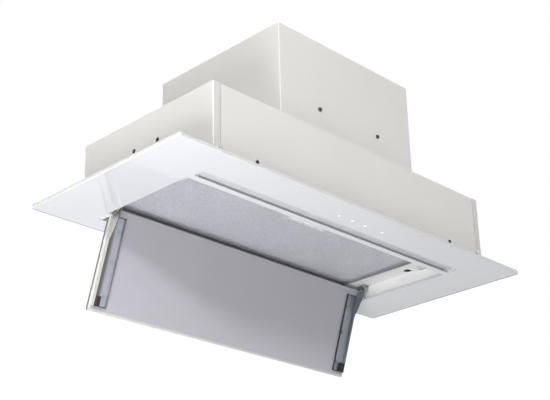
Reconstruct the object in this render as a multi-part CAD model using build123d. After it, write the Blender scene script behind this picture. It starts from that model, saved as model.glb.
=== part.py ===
"""Built-in range hood: a glass panel under a cupboard, a low housing, a blower tower and a hinged suction flap.

Millimetres. +X runs along the panel to the right, +Y runs from the front to the wall, +Z is up.
The origin is the middle of the panel, on the plane where the foam seal meets the cupboard.
The flap is drawn closed and then swung open, which is how it hangs at rest.
"""
import math
import os

from build123d import *

# Panel: glass, the steel rim behind it and the foam seal on top
panel_width = 740.0
panel_depth = 313.4
panel_corner = 4.0
glass_thickness = 4.0
glass_arris = 0.6
rim_thickness = 2.0
rim_inset = 1.5
seal_thickness = 2.0
seal_width = 10.5
seal_inset = 6.0

# Opening in the glass for the suction flap
opening_side_margin = 90.0
opening_front_margin = 86.7
opening_rear_margin = 34.7
opening_corner = 3.0
rim_setback = 2.0

# Light slot in front of the opening
slot_end_inset = 3.0
slot_width = 18.5
slot_gap = 10.5
diffuser_lip = 1.5
channel_lip = 2.5
channel_wall = 1.2
channel_height = 16.0
light_board_end_gap = 7.0
light_board_width = 11.0
led_count = 24
led_size = 3.0
led_height = 0.9

# Touch field near the front edge
touch_inset = 37.2
touch_middle = -2.5
touch_pitch = 28.5
touch_far_pitch = 39.0
touch_mark_radius = 2.6
touch_mark_depth = 0.4
touch_mark_clearance = 0.05
touch_board_length = 130.0
touch_board_width = 11.0
touch_cover_height = 9.0
board_thickness = 1.6
board_corner = 1.0
board_clearance = 0.8
cover_wall = 1.2

# Low housing of folded sheet
sheet = 1.0
housing_side_margin = 75.5
housing_margin = 19.2
housing_height = 109.0
end_flange = 13.0
angle_height = 28.0
angle_foot = 6.0
angle_thickness = 1.5
side_hole_radius = 3.5
side_hole_pitch = 50.0
side_hole_height = 67.3
front_screw_height = 20.4
front_hole_radius = 3.5
front_hole_inset = 82.0
end_screw_inset = 11.5

# Blower tower
tower_width = 297.0
tower_height = 159.7
tower_set_back = 16.5
tower_foot = 10.0
lid_flange = 12.0
tower_screw_spacing = 131.0
tower_screw_height = 159.5
rivet_rows = 3
rivet_head_radius = 3.0
rivet_head_height = 1.0

# Recess behind the opening, and the grease filter in it
recess_height = 23.0
recess_foot = 10.0
recess_front_foot = 3.0
aperture_flange = 12.0
filter_side_gap = 31.0
filter_front_gap = 37.0
filter_rear_gap = 4.0
filter_recess = 4.0
filter_thickness = 10.0
filter_wall = 1.0
filter_lip = 3.0
filter_clearance = 0.5
tongue_width = 20.0
tongue_length = 6.0
tongue_thickness = 2.0
tongue_spacing = 300.0
access_hole_radius = 6.5
access_hole_inset = 10.0
access_hole_gap = 66.0

# Latch of the filter
latch_length = 78.0
latch_width = 10.0
latch_thickness = 3.0
latch_tongue_length = 24.0
latch_travel = 6.0
latch_guide = 2.0
slide_clearance = 0.15

# Suction flap and its hinge
flap_gap = 12.0
flap_side_gap = 10.0
flap_rear_gap = 29.4
flap_corner = 3.0
flap_sheet_inset = 4.0
flap_bar_width = 4.5
flap_bar_height = 2.2
flap_open_angle = 108.7
hinge_height = 12.9
hinge_overhang = 1.2
hinge_pin_radius = 3.0
hinge_pin_clearance = 0.05
hinge_head_radius = 4.8
hinge_head_height = 1.2
washer_radius = 5.0
washer_thickness = 1.6
arm_inset = 4.8
arm_width = 23.2
arm_thickness = 1.2
arm_flange_height = 5.5
arm_front_gap = 8.0
arm_rear_gap = 6.1
arm_lip_height = 2.0
arm_screw_inset = 5.9
ear_radius = 7.8
ear_height = 10.5
ear_length = 33.0
ear_ramp = 14.0
bracket_radius = 7.5
bracket_thickness = 1.5
bracket_foot = 12.0
arm_screw_radius = 2.8
arm_screw_height = 1.2
arm_screw_shares = (0.12, 0.5, 0.84)
catch_width = 8.0
catch_length = 15.0
catch_height = 6.0
catch_groove = 1.2
catch_radius = 1.2
striker_gap = 0.4
striker_clearance = 0.5
striker_lip = 3.0
striker_plate = 1.5

# Screws
screw_radius = 1.75
screw_hole_radius = 2.0
screw_head_radius = 3.0
screw_head_height = 2.2
screw_length = 7.0
screw_slot_width = 0.9
screw_slot_depth = 0.8

# Blower: scroll, impeller and motor
scroll_growth = 28.0
scroll_rear_gap = 19.0
scroll_depth_room = 65.5
scroll_height_room = 38.7
scroll_start_angle = 75.0
blower_lift = 6.15
scroll_points = 13
scroll_wall = 1.5
scroll_inner_width = 124.0
cheek_thickness = 1.2
impeller_gap = 8.0
inlet_lap = 1.0
blade_depth = 15.0
impeller_width = 100.0
impeller_disc = 2.0
impeller_ring_depth = 6.0
impeller_ring_width = 3.0
blade_count = 36
blade_thickness = 1.2
blade_lean = 9.0
hub_radius = 10.0
hub_length = 24.0
shaft_radius = 4.0
shaft_clearance = 0.05
motor_air_gap = 15.0
motor_length = 80.0
motor_gap = 15.0
motor_rib_height = 2.0
motor_rib_length = 24.0
bearing_radius = 9.0
bearing_length = 6.0
shaft_channel = 1.0
spider_arms = 3
spider_reach = 18.0
spider_bearing_gap = 4.0
spider_arm_width = 9.0
spider_thickness = 2.0
spider_foot = 8.0
spider_screw_head = 2.8
flange_side_margin = 6.5
flange_front_margin = 3.5
flange_rear_margin = 8.5
flange_thickness = 2.0
flange_corner = 4.0
gasket_width = 5.0

# Outlet collar with its two non-return flaps
collar_radius = 75.0
collar_wall = 1.5
collar_rear_gap = 1.0
collar_height = 36.0
collar_flange_radius = 84.0
collar_flange_thickness = 1.5
collar_screw_count = 4
collar_screw_head = 3.0
damper_thickness = 1.2
damper_height = 10.3
damper_clearance = 0.6
damper_pin_spacing = 9.0
damper_pin_radius = 1.5
damper_pin_clearance = 0.06
damper_sleeve_radius = 3.0
damper_sleeve_length = 28.0
damper_seat_width = 3.0
damper_seat_thickness = 1.2
damper_seat_gap = 0.1
damper_bar_thickness = 1.2

# Electrical pieces
power_box_depth = 38.0
power_box_length = 90.0
power_box_height = 66.0
power_box_wall = 2.0
power_box_rear_gap = 5.5
power_box_top_gap = 18.7
power_cover_thickness = 2.0
capacitor_radius = 17.5
capacitor_length = 62.0
capacitor_rear_gap = 77.5
capacitor_top_gap = 14.7
capacitor_clip_thickness = 1.0
capacitor_clip_width = 16.0
capacitor_clip_foot = 9.0
driver_length = 100.0
driver_width = 36.0
driver_height = 20.0
driver_x = -70.0
driver_corner = 2.0
gland_side_gap = 36.5
gland_rear_gap = 33.5
gland_bore_radius = 5.0
gland_thread_radius = 8.0
gland_flange_radius = 12.0
gland_height = 14.0
gland_depth = 9.0
gland_flange_height = 3.0
gland_nut_height = 5.0
gland_thread_clearance = 0.2

# One overrun for every cut
over = 1.0

# Levels and edges that follow
seat = 0.0
rim_top = seat - seal_thickness
glass_top = rim_top - rim_thickness
face = glass_top - glass_thickness
opening_width = panel_width - 2 * opening_side_margin
opening_front = -panel_depth / 2 + opening_front_margin
opening_rear = panel_depth / 2 - opening_rear_margin
opening_depth = opening_rear - opening_front
opening_offset = (opening_front + opening_rear) / 2
slot_length = opening_width - 2 * slot_end_inset
slot_rear = opening_front - slot_gap
slot_middle = slot_rear - slot_width / 2
touch_y = touch_inset - panel_depth / 2
touch_places = [
    touch_middle - touch_pitch,
    touch_middle,
    touch_middle + touch_pitch,
    touch_middle + touch_pitch + touch_far_pitch,
]
touch_board_x = (touch_places[0] + touch_places[-1]) / 2
light_board_length = slot_length - 2 * light_board_end_gap
housing_width = panel_width - 2 * housing_side_margin
housing_depth = panel_depth - 2 * housing_margin
half_housing = housing_width / 2
end_screw_x = half_housing - end_screw_inset
front_hole_x = half_housing - front_hole_inset
housing_front = -housing_depth / 2
housing_rear = housing_depth / 2
housing_top = rim_top + housing_height
tower_front = housing_front + tower_set_back
tower_rear = housing_rear
tower_top = housing_top + tower_height
lid_low = tower_top - sheet
shelf_low = face + recess_height
shelf_top = shelf_low + sheet
recess_half = opening_width / 2 + rim_setback
recess_front = opening_front - rim_setback
recess_rear = opening_rear + rim_setback
filter_front = opening_front + filter_front_gap
filter_rear = opening_rear - filter_rear_gap
filter_width = opening_width - 2 * filter_side_gap
filter_middle = (filter_front + filter_rear) / 2
filter_low = shelf_low + filter_recess
filter_top = filter_low + filter_thickness
flap_front = opening_front + flap_gap
flap_rear = opening_rear - flap_rear_gap
flap_width = opening_width - 2 * flap_side_gap
flap_depth = flap_rear - flap_front
hinge_y = flap_rear + hinge_overhang
hinge_z = face + hinge_height
flap_inner = face + glass_thickness
flap_sheet_top = flap_inner + sheet
access_hole_x = recess_half - access_hole_inset
access_hole_y = opening_front + access_hole_gap
arm_outer_x = flap_width / 2 - arm_inset
arm_inner_x = arm_outer_x - arm_width
arm_front = flap_front + arm_front_gap
arm_rear = flap_rear - flap_bar_width - arm_rear_gap
ear_inner_x = arm_outer_x - arm_thickness
catch_outer_x = ear_inner_x
catch_inner_x = catch_outer_x - catch_width
catch_top = flap_sheet_top + arm_thickness + catch_height
bracket_x = arm_outer_x + washer_thickness
duct_top = lid_low - gasket_width - flange_thickness
scroll_room_deep = tower_rear - tower_front - 2 * sheet - scroll_depth_room
scroll_room_high = duct_top - filter_top - scroll_height_room
scroll_start_radius = ((scroll_room_deep + scroll_room_high) / 2 - scroll_growth - 2 * scroll_wall) / 2
scroll_end_radius = scroll_start_radius + scroll_growth
blower_y = tower_rear - sheet - scroll_rear_gap - scroll_wall - scroll_end_radius
blower_z = (filter_top + duct_top) / 2 + blower_lift
impeller_radius = scroll_start_radius - impeller_gap
impeller_inner_radius = impeller_radius - blade_depth
inlet_radius = impeller_inner_radius + inlet_lap
motor_radius = impeller_inner_radius - motor_air_gap
spider_radius = inlet_radius + spider_reach
spider_inner_radius = bearing_radius + spider_bearing_gap
cheek_inner_x = scroll_inner_width / 2
cheek_outer_x = cheek_inner_x + cheek_thickness
collar_y = tower_rear - collar_rear_gap - collar_flange_radius
collar_bore_radius = collar_radius - collar_wall
flange_front = collar_y - collar_bore_radius - flange_front_margin
flange_rear = collar_y + collar_bore_radius + flange_rear_margin
flange_width = 2 * (collar_bore_radius + flange_side_margin)
damper_z = tower_top + damper_height
power_box_y = tower_rear - sheet - power_box_rear_gap - power_box_length / 2
power_box_z = lid_low - power_box_top_gap - power_box_height / 2
capacitor_y = tower_rear - capacitor_rear_gap
capacitor_z = lid_low - capacitor_top_gap - capacitor_length / 2
gland_x = gland_side_gap - tower_width / 2
gland_y = tower_rear - gland_rear_gap
low_align = (Align.CENTER, Align.CENTER, Align.MIN)


def block(x_low, x_high, y_low, y_high, z_low, z_high):
    """A straight block between six planes."""
    middle = Pos((x_low + x_high) / 2, (y_low + y_high) / 2, (z_low + z_high) / 2)
    return middle * Box(x_high - x_low, y_high - y_low, z_high - z_low)


def slab(width, depth, corner, z_low, z_high, x_mid=0.0, y_mid=0.0):
    """A flat piece with rounded upright corners."""
    outline = RectangleRounded(width, depth, corner)
    return Pos(x_mid, y_mid, z_low) * extrude(outline, z_high - z_low)


def rod(radius, start, end):
    """A round bar from one point to another."""
    line = Vector(end) - Vector(start)
    return Plane(start, z_dir=line) * Cylinder(radius, line.length, align=low_align)


def profile_x(points, x_low, x_high):
    """A (y, z) outline drawn out along X."""
    outline = make_face(Polyline(*points, close=True))
    return Pos(x_low, 0, 0) * extrude(Plane.YZ * outline, x_high - x_low)


def both(make):
    """The right-hand piece and its mirror image on the left."""
    right = make()
    return {"right": right, "left": mirror(right, Plane.YZ)}


def group(solids):
    """Several loose solids in one node."""
    return Compound(children=list(solids))


def screw(seat_point, inward, length=screw_length, head=screw_head_radius):
    """A pan-head screw with a slot: its head stands outside the seat and its shank goes inward."""
    seat_at = Vector(seat_point)
    way = Vector(inward)
    shank = rod(screw_radius, seat_at, seat_at + way * length)
    cap = rod(head, seat_at - way * screw_head_height, seat_at)
    slot_box = Box(2 * head + over, screw_slot_width, 2 * screw_slot_depth)
    slot_cut = Plane(seat_at - way * screw_head_height, z_dir=way) * slot_box
    return shank + (cap - slot_cut)


# Panel group


def glass_panel():
    """White glass with the flap opening, the light slot and shallow seats for the lit marks."""
    solid = slab(panel_width, panel_depth, panel_corner, face, glass_top)
    solid = chamfer(solid.faces().sort_by(Axis.Z)[0].edges(), glass_arris)
    opening = slab(
        opening_width, opening_depth, opening_corner, face - over, glass_top + over, y_mid=opening_offset
    )
    solid -= opening
    solid -= block(
        -slot_length / 2, slot_length / 2, slot_rear - slot_width, slot_rear, face - over, glass_top + over
    )
    for place in touch_places:
        solid -= rod(
            touch_mark_radius + touch_mark_clearance,
            (place, touch_y, face - over),
            (place, touch_y, face + touch_mark_depth),
        )
    return solid


def touch_marks():
    """Lit marks of the touch field, flush with the glass."""
    return group(
        rod(touch_mark_radius, (place, touch_y, face), (place, touch_y, face + touch_mark_depth))
        for place in touch_places
    )


def panel_rim():
    """Steel strips bonded behind the glass, laid round the opening, the light slot and the touch board."""
    half = panel_width / 2 - rim_inset
    front, rear = rim_inset - panel_depth / 2, panel_depth / 2 - rim_inset
    slot_half = slot_length / 2 + diffuser_lip + board_clearance
    slot_half_width = slot_width / 2 + diffuser_lip + board_clearance
    board_half = touch_board_length / 2 + board_clearance
    board_half_width = touch_board_width / 2 + board_clearance
    touch_row = (touch_y - board_half_width, touch_y + board_half_width)
    slot_row = (slot_middle - slot_half_width, slot_middle + slot_half_width)
    recess_row = (recess_front, recess_rear)
    strips = [
        (-half, half, front, touch_row[0]),
        (-half, touch_board_x - board_half, *touch_row),
        (touch_board_x + board_half, half, *touch_row),
        (-half, half, touch_row[1], slot_row[0]),
        (-half, -slot_half, *slot_row),
        (slot_half, half, *slot_row),
        (-half, half, slot_row[1], recess_front),
        (-half, -recess_half, *recess_row),
        (recess_half, half, *recess_row),
        (-half, half, recess_rear, rear),
    ]
    solids = [block(*strip, glass_top, rim_top) for strip in strips]
    for i, y in ((0, front), (-1, rear)):
        corners = solids[i].edges().filter_by(Axis.Z).filter_by(lambda e: abs(e.center().Y - y) < rim_inset)
        solids[i] = fillet(corners, panel_corner)
    return group(solids)


def cabinet_seal():
    """Foam strip all round the top of the rim, which meets the cupboard."""
    width = panel_width - 2 * rim_inset - 2 * seal_inset
    depth = panel_depth - 2 * rim_inset - 2 * seal_inset
    outer = slab(width, depth, panel_corner, rim_top, seat)
    inner = slab(
        width - 2 * seal_width, depth - 2 * seal_width, panel_corner / 2, rim_top - over, seat + over
    )
    return outer - inner


def touch_board():
    """Circuit board with the touch sensors, lying on the back of the glass."""
    return slab(
        touch_board_length, touch_board_width, board_corner, glass_top, glass_top + board_thickness,
        x_mid=touch_board_x, y_mid=touch_y,
    )


def touch_cover():
    """Plastic cap over the touch board."""
    length = touch_board_length + 2 * board_clearance + 2 * cover_wall
    width = touch_board_width + 2 * board_clearance + 2 * cover_wall
    high = rim_top + touch_cover_height
    outer = slab(length, width, cover_wall, rim_top, high, x_mid=touch_board_x, y_mid=touch_y)
    inner = block(
        touch_board_x - length / 2 + cover_wall,
        touch_board_x + length / 2 - cover_wall,
        touch_y - width / 2 + cover_wall,
        touch_y + width / 2 - cover_wall,
        rim_top - over,
        high - cover_wall,
    )
    return outer - inner


# Light


def light_channel():
    """Aluminium trough over the light slot, open downwards."""
    inner_length = slot_length + 2 * channel_lip
    inner_width = slot_width + 2 * channel_lip
    half, half_width = inner_length / 2, inner_width / 2
    outer = block(
        -half - channel_wall,
        half + channel_wall,
        slot_middle - half_width - channel_wall,
        slot_middle + half_width + channel_wall,
        rim_top,
        rim_top + channel_height,
    )
    inner = block(
        -half, half, slot_middle - half_width, slot_middle + half_width,
        rim_top - over, rim_top + channel_height - channel_wall,
    )
    return outer - inner


def light_diffuser():
    """Opal strip that lies on the glass, behind the slot."""
    half = slot_length / 2 + diffuser_lip
    half_width = slot_width / 2 + diffuser_lip
    return block(-half, half, slot_middle - half_width, slot_middle + half_width, glass_top, rim_top)


def light_board():
    """Strip of lamps under the ceiling of the trough."""
    ceiling = rim_top + channel_height - channel_wall
    half = light_board_length / 2
    strip = block(
        -half, half, slot_middle - light_board_width / 2, slot_middle + light_board_width / 2,
        ceiling - board_thickness, ceiling,
    )
    pitch = light_board_length / led_count
    low = ceiling - board_thickness - led_height
    lamps = [
        block(
            x - led_size / 2, x + led_size / 2, slot_middle - led_size / 2, slot_middle + led_size / 2,
            low, ceiling - board_thickness,
        )
        for x in (-half + pitch * (i + 0.5) for i in range(led_count))
    ]
    return strip + lamps


def light_driver():
    """Supply box of the lamps, standing on the recess shelf."""
    middle = (recess_front + filter_front) / 2
    body = block(
        driver_x - driver_length / 2, driver_x + driver_length / 2,
        middle - driver_width / 2, middle + driver_width / 2, shelf_top, shelf_top + driver_height,
    )
    return chamfer(body.faces().sort_by(Axis.Z)[-1].edges(), driver_corner)


# Low housing


def end_screw_holes(solid, y_low, y_high):
    """Cuts the holes of the screws that join the walls to the end flanges."""
    z = face + front_screw_height
    for side in (-1, 1):
        x = side * end_screw_x
        solid -= rod(screw_hole_radius, (x, y_low, z), (x, y_high, z))
    return solid


def front_holes(solid, y_low, y_high):
    """Cuts the two open fixing holes of the front wall."""
    z = face + front_screw_height
    for side in (-1, 1):
        x = side * front_hole_x
        solid -= rod(front_hole_radius, (x, y_low, z), (x, y_high, z))
    return solid


def housing_wrap():
    """Sheets of the low housing: folded front and rear, and two plates that close the top beside the tower."""
    half = half_housing - sheet
    front, rear = housing_front + sheet, housing_rear - sheet
    hole_half = tower_width / 2 - sheet - tower_foot
    hole_front = tower_front + sheet + tower_foot
    hole_rear = tower_rear - 2 * sheet - tower_foot
    top_low = housing_top - sheet
    front_sheet = block(-half, half, front, front + sheet, rim_top, housing_top)
    front_sheet += block(-half, half, front, hole_front, top_low, housing_top)
    front_sheet = end_screw_holes(front_sheet, front - over, front + sheet + over)
    front_sheet = front_holes(front_sheet, front - over, front + sheet + over)
    rear_sheet = block(-half, half, rear - sheet, rear, rim_top, housing_top)
    rear_sheet += block(-half, half, hole_rear, rear, top_low, housing_top)
    rear_sheet = end_screw_holes(rear_sheet, rear - sheet - over, rear + over)
    plates = both(lambda: block(hole_half, half, hole_front, hole_rear, top_low, housing_top))
    return group([front_sheet, rear_sheet, *plates.values()])


def housing_end():
    """End plate with a flange folded over the front wall and one over the rear wall."""
    inner = half_housing - sheet
    solid = block(inner, half_housing, housing_front, housing_rear, rim_top, housing_top)
    for low, high in ((housing_front, housing_front + sheet), (housing_rear - sheet, housing_rear)):
        solid += block(half_housing - end_flange, inner, low, high, rim_top, housing_top)
    corners = solid.edges().filter_by(Axis.Z).filter_by(
        lambda e: abs(e.center().X - half_housing) < sheet / 2
    )
    solid = fillet(corners, sheet * 0.9)
    for side in (-1, 1):
        y = side * side_hole_pitch / 2
        z = face + side_hole_height
        solid -= rod(side_hole_radius, (inner - over, y, z), (half_housing + over, y, z))
    return end_screw_holes(solid, housing_front - over, housing_rear + over)


def rim_angle(front):
    """Steel angle that joins the rim to the front or rear wall from inside."""
    side = 1 if front else -1
    wall = housing_front + 2 * sheet if front else housing_rear - 2 * sheet
    half = half_housing - 2 * sheet
    upright = sorted((wall, wall + side * angle_thickness))
    foot = sorted((wall, wall + side * angle_foot))
    solid = block(-half, half, *upright, rim_top, rim_top + angle_height)
    solid += block(-half, half, *foot, rim_top, rim_top + angle_thickness)
    solid = end_screw_holes(solid, upright[0] - over, upright[1] + over)
    if front:
        solid = front_holes(solid, upright[0] - over, upright[1] + over)
    return solid


def rim_angles():
    """Both angles, front and rear."""
    return group(rim_angle(front) for front in (True, False))


def housing_screws():
    """Screws that join the front and rear walls to the end flanges."""
    z = face + front_screw_height
    solids = []
    for wall, way in ((housing_front, 1), (housing_rear, -1)):
        for side in (-1, 1):
            solids.append(screw((side * end_screw_x, wall, z), (0, way, 0)))
    return group(solids)


# Tower


def tower_wrap():
    """Front and sides of the tower, folded from one sheet, with feet turned in at the bottom."""
    half = tower_width / 2
    rear = tower_rear - sheet
    solid = block(-half, half, tower_front, rear, housing_top, tower_top)
    solid -= block(
        -half + sheet, half - sheet, tower_front + sheet, rear + over, housing_top + sheet, tower_top + over
    )
    corners = solid.edges().filter_by(Axis.Z).filter_by(
        lambda e: abs(e.center().Y - tower_front) < sheet / 2
    )
    solid = fillet(corners, sheet * 0.9)
    solid -= block(
        -half + sheet + tower_foot, half - sheet - tower_foot,
        tower_front + sheet + tower_foot, rear + over, housing_top - over, housing_top + sheet + over,
    )
    for side in (-1, 1):
        x = side * tower_screw_spacing / 2
        z = face + tower_screw_height
        solid -= rod(screw_hole_radius, (x, tower_front - over, z), (x, tower_front + sheet + over, z))
    for x, y in rivet_places():
        solid -= rod(screw_hole_radius, (x, y, housing_top - over), (x, y, housing_top + sheet + over))
    return solid


def rivet_places():
    """Rivets through the side feet of the tower."""
    x = tower_width / 2 - sheet - tower_foot / 2
    span = tower_rear - tower_front
    rows = [tower_front + span * (i + 0.5) / rivet_rows for i in range(rivet_rows)]
    return [(side * x, y) for side in (-1, 1) for y in rows]


def tower_rivets():
    """Rivets that join the tower's feet to the housing top: a head above each foot."""
    z = housing_top + sheet
    return group(
        rod(rivet_head_radius, (x, y, z), (x, y, z + rivet_head_height))
        + rod(screw_radius, (x, y, housing_top), (x, y, z))
        for x, y in rivet_places()
    )


def tower_screws():
    """Screws in the tower front, which hold the blower's cross rail."""
    z = face + tower_screw_height
    return group(
        screw((side * tower_screw_spacing / 2, tower_front, z), (0, 1, 0)) for side in (-1, 1)
    )


def tower_rail():
    """Cross rail behind the tower front that stiffens it and takes the two front screws."""
    z = face + tower_screw_height
    half = tower_width / 2 - sheet
    low = tower_front + sheet
    solid = block(-half, half, low, low + angle_thickness, z - angle_foot, z + angle_foot)
    for side in (-1, 1):
        x = side * tower_screw_spacing / 2
        solid -= rod(screw_hole_radius, (x, low - over, z), (x, low + angle_thickness + over, z))
    return solid


def tower_back():
    """Rear wall of the tower with a foot turned in."""
    half = tower_width / 2
    wall = block(-half, half, tower_rear - sheet, tower_rear, housing_top, tower_top)
    foot_half = half - sheet - tower_foot
    foot = block(
        -foot_half, foot_half, tower_rear - sheet - tower_foot, tower_rear - sheet,
        housing_top, housing_top + sheet,
    )
    return wall + foot


def tower_lid():
    """Top of the tower with turned-down edges, the duct hole, the gland hole and the collar's screw holes."""
    half = tower_width / 2 - sheet
    front, rear = tower_front + sheet, tower_rear - sheet
    solid = block(-half, half, front, rear, tower_top - lid_flange, tower_top)
    solid -= block(
        -half + sheet, half - sheet, front + sheet, rear - sheet, tower_top - lid_flange - over, lid_low
    )
    low, high = lid_low - over, tower_top + over
    solid -= rod(collar_bore_radius, (0, collar_y, low), (0, collar_y, high))
    solid -= rod(gland_thread_radius + gland_thread_clearance, (gland_x, gland_y, low), (gland_x, gland_y, high))
    for x, y in collar_screw_places():
        solid -= rod(screw_hole_radius, (x, y, low), (x, y, high))
    return solid


# Recess and grease filter


def recess_pan():
    """Folded pan over the opening: walls, shelf, and an upturned frame round the filter."""
    low, high = rim_top, shelf_top
    outer = block(
        -recess_half - sheet, recess_half + sheet, recess_front - sheet, recess_rear + sheet, low, high
    )
    outer -= block(-recess_half, recess_half, recess_front, recess_rear, low - over, shelf_low)
    foot_half = recess_half + recess_foot
    foot_rear = housing_rear - 2 * sheet - angle_foot - filter_clearance
    foot = block(
        -foot_half, foot_half, recess_front - sheet - recess_front_foot, foot_rear, low, low + sheet
    )
    foot -= block(-recess_half, recess_half, recess_front, recess_rear, low - over, low + sheet + over)
    half = filter_width / 2 + filter_clearance
    front, rear = filter_front - filter_clearance, filter_rear + filter_clearance
    frame = block(
        -half - sheet, half + sheet, front - sheet, rear + sheet, shelf_low, shelf_low + aperture_flange
    )
    solid = outer + foot + frame
    solid -= block(-half, half, front, rear, shelf_low - over, shelf_low + aperture_flange + over)
    for side in (-1, 1):
        x = side * tongue_spacing / 2
        solid -= block(
            x - tongue_width / 2 - filter_clearance, x + tongue_width / 2 + filter_clearance,
            rear - over, rear + sheet + over,
            filter_low + tongue_thickness, filter_low + 2 * tongue_thickness + filter_clearance,
        )
        solid -= rod(
            access_hole_radius,
            (side * access_hole_x, access_hole_y, shelf_low - over),
            (side * access_hole_x, access_hole_y, shelf_top + over),
        )
        solid -= striker_slot(side)
    solid -= block(
        -latch_tongue_length / 2 - filter_clearance, latch_tongue_length / 2 + filter_clearance,
        front - sheet - over, front + over, shelf_top, filter_low,
    )
    return solid


def striker_slot(side):
    """Hole in the shelf for one striker."""
    x_low, x_high = sorted((side * catch_inner_x, side * catch_outer_x))
    return block(
        x_low, x_high, arm_front, arm_front + catch_length, shelf_low - over, shelf_top + over
    )


def catch_strikers():
    """Dark sockets set into the shelf from above, which the flap's catches meet."""
    solids = []
    for side in (-1, 1):
        x_low, x_high = sorted((side * catch_inner_x, side * catch_outer_x))
        y_low, y_high = arm_front, arm_front + catch_length
        body = block(
            x_low + striker_clearance, x_high - striker_clearance,
            y_low + striker_clearance, y_high - striker_clearance,
            catch_top + striker_gap, shelf_top,
        )
        plate = block(
            max(x_low, -recess_half + sheet) - striker_lip, min(x_high, recess_half) + striker_lip,
            y_low - striker_lip, y_high + striker_lip, shelf_top, shelf_top + striker_plate,
        )
        solids.append(body + plate)
    return group(solids)


def filter_frame():
    """Aluminium frame of the grease filter, with rear tongues and the guides of the latch."""
    half = filter_width / 2
    outer = block(-half, half, filter_front, filter_rear, filter_low, filter_top)
    outer -= block(
        -half + filter_wall, half - filter_wall, filter_front + filter_wall, filter_rear - filter_wall,
        filter_low + filter_wall, filter_top - filter_wall,
    )
    outer -= block(
        -half + filter_lip, half - filter_lip, filter_front + filter_lip, filter_rear - filter_lip,
        filter_low - over, filter_top + over,
    )
    for side in (-1, 1):
        x = side * tongue_spacing / 2
        outer += block(
            x - tongue_width / 2, x + tongue_width / 2, filter_rear, filter_rear + tongue_length,
            filter_low + tongue_thickness, filter_low + 2 * tongue_thickness,
        )
        outer += latch_rail(side)
    return outer


def latch_rail(side):
    """L-shaped guide under the filter frame for one end of the latch."""
    near = latch_length / 2 + slide_clearance
    far = near + latch_guide
    lip = latch_length / 2 - latch_guide / 2
    low = filter_low - latch_thickness
    y_low, y_high = filter_front, filter_front + latch_width + latch_travel
    post = sorted((side * near, side * far))
    hook = sorted((side * lip, side * far))
    solid = block(*post, y_low, y_high, low, filter_low)
    return solid + block(*hook, y_low, y_high, low, low + latch_guide / 2)


def filter_mesh():
    """Layered aluminium mesh held in the frame."""
    half = filter_width / 2 - filter_wall
    return block(
        -half, half, filter_front + filter_wall, filter_rear - filter_wall,
        filter_low + filter_wall, filter_top - filter_wall,
    )


def filter_latch():
    """White grip that slides back to free the filter, with a tongue over the shelf."""
    half = latch_length / 2
    low = filter_low - latch_thickness
    front = filter_front + slide_clearance
    grip = block(
        -half, half, front, front + latch_width, low + latch_guide / 2 + slide_clearance,
        filter_low - slide_clearance,
    )
    inner_half = half - latch_guide / 2 - slide_clearance
    grip += block(-inner_half, inner_half, front, front + latch_width, low, filter_low - slide_clearance)
    hollow = block(
        -inner_half + latch_guide, inner_half - latch_guide, front + latch_guide,
        front + latch_width - latch_guide, low - over, low + latch_guide / 2,
    )
    tongue = block(
        -latch_tongue_length / 2, latch_tongue_length / 2, filter_front - latch_travel, front,
        shelf_top + slide_clearance, filter_low - slide_clearance,
    )
    return grip - hollow + tongue


# Suction flap, drawn closed


def flap_glass():
    """White glass of the flap."""
    solid = slab(
        flap_width, flap_depth, flap_corner, face, flap_inner, y_mid=(flap_front + flap_rear) / 2
    )
    return chamfer(solid.faces().sort_by(Axis.Z)[0].edges(), glass_arris)


def flap_sheet():
    """Glossy inner sheet with a folded bar along the hinge edge."""
    half = flap_width / 2 - flap_sheet_inset
    bar_half = ear_inner_x - slide_clearance
    solid = block(
        -half, half, flap_front + flap_sheet_inset, flap_rear, flap_inner, flap_sheet_top
    )
    bar = block(
        -bar_half, bar_half, flap_rear - flap_bar_width, flap_rear,
        flap_sheet_top, flap_sheet_top + flap_bar_height,
    )
    bar = fillet(bar.edges().filter_by(Axis.X).sort_by(Axis.Z)[-2:], flap_bar_height / 3)
    return solid + bar


def flap_arm():
    """Zinc arm: a strip on the sheet with a low lip, an upright flange and the ear round the hinge."""
    low = flap_sheet_top
    lip_top = low + arm_thickness + arm_lip_height
    strip = block(arm_inner_x, arm_outer_x, arm_front, arm_rear, low, low + arm_thickness)
    strip += block(arm_inner_x, arm_inner_x + arm_thickness, arm_front, arm_rear, low, lip_top)
    strip += block(arm_inner_x, catch_inner_x, arm_front, arm_front + arm_thickness, low, lip_top)
    edge = low + arm_flange_height
    ear_top = low + ear_height
    ear_foot = hinge_y - ear_length
    flange = profile_x(
        [
            (arm_front, low),
            (arm_rear, low),
            (arm_rear, low + arm_thickness),
            (hinge_y, hinge_z - ear_radius),
            (hinge_y, hinge_z + ear_radius),
            (arm_rear, hinge_z + ear_radius),
            (ear_foot, ear_top),
            (ear_foot - ear_ramp, edge),
            (arm_front, edge),
        ],
        ear_inner_x,
        arm_outer_x,
    )
    boss = rod(ear_radius, (ear_inner_x, hinge_y, hinge_z), (arm_outer_x, hinge_y, hinge_z))
    bore = rod(
        hinge_pin_radius + hinge_pin_clearance,
        (ear_inner_x - over, hinge_y, hinge_z),
        (arm_outer_x + over, hinge_y, hinge_z),
    )
    solid = strip + flange + boss - bore
    for x, y in arm_screw_places():
        solid -= rod(screw_hole_radius, (x, y, low - over), (x, y, low + arm_thickness + over))
    return solid


def arm_screw_places():
    """Screws of the right-hand arm."""
    x = arm_inner_x + arm_screw_inset
    return [(x, arm_front + (arm_rear - arm_front) * share) for share in arm_screw_shares]


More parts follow.
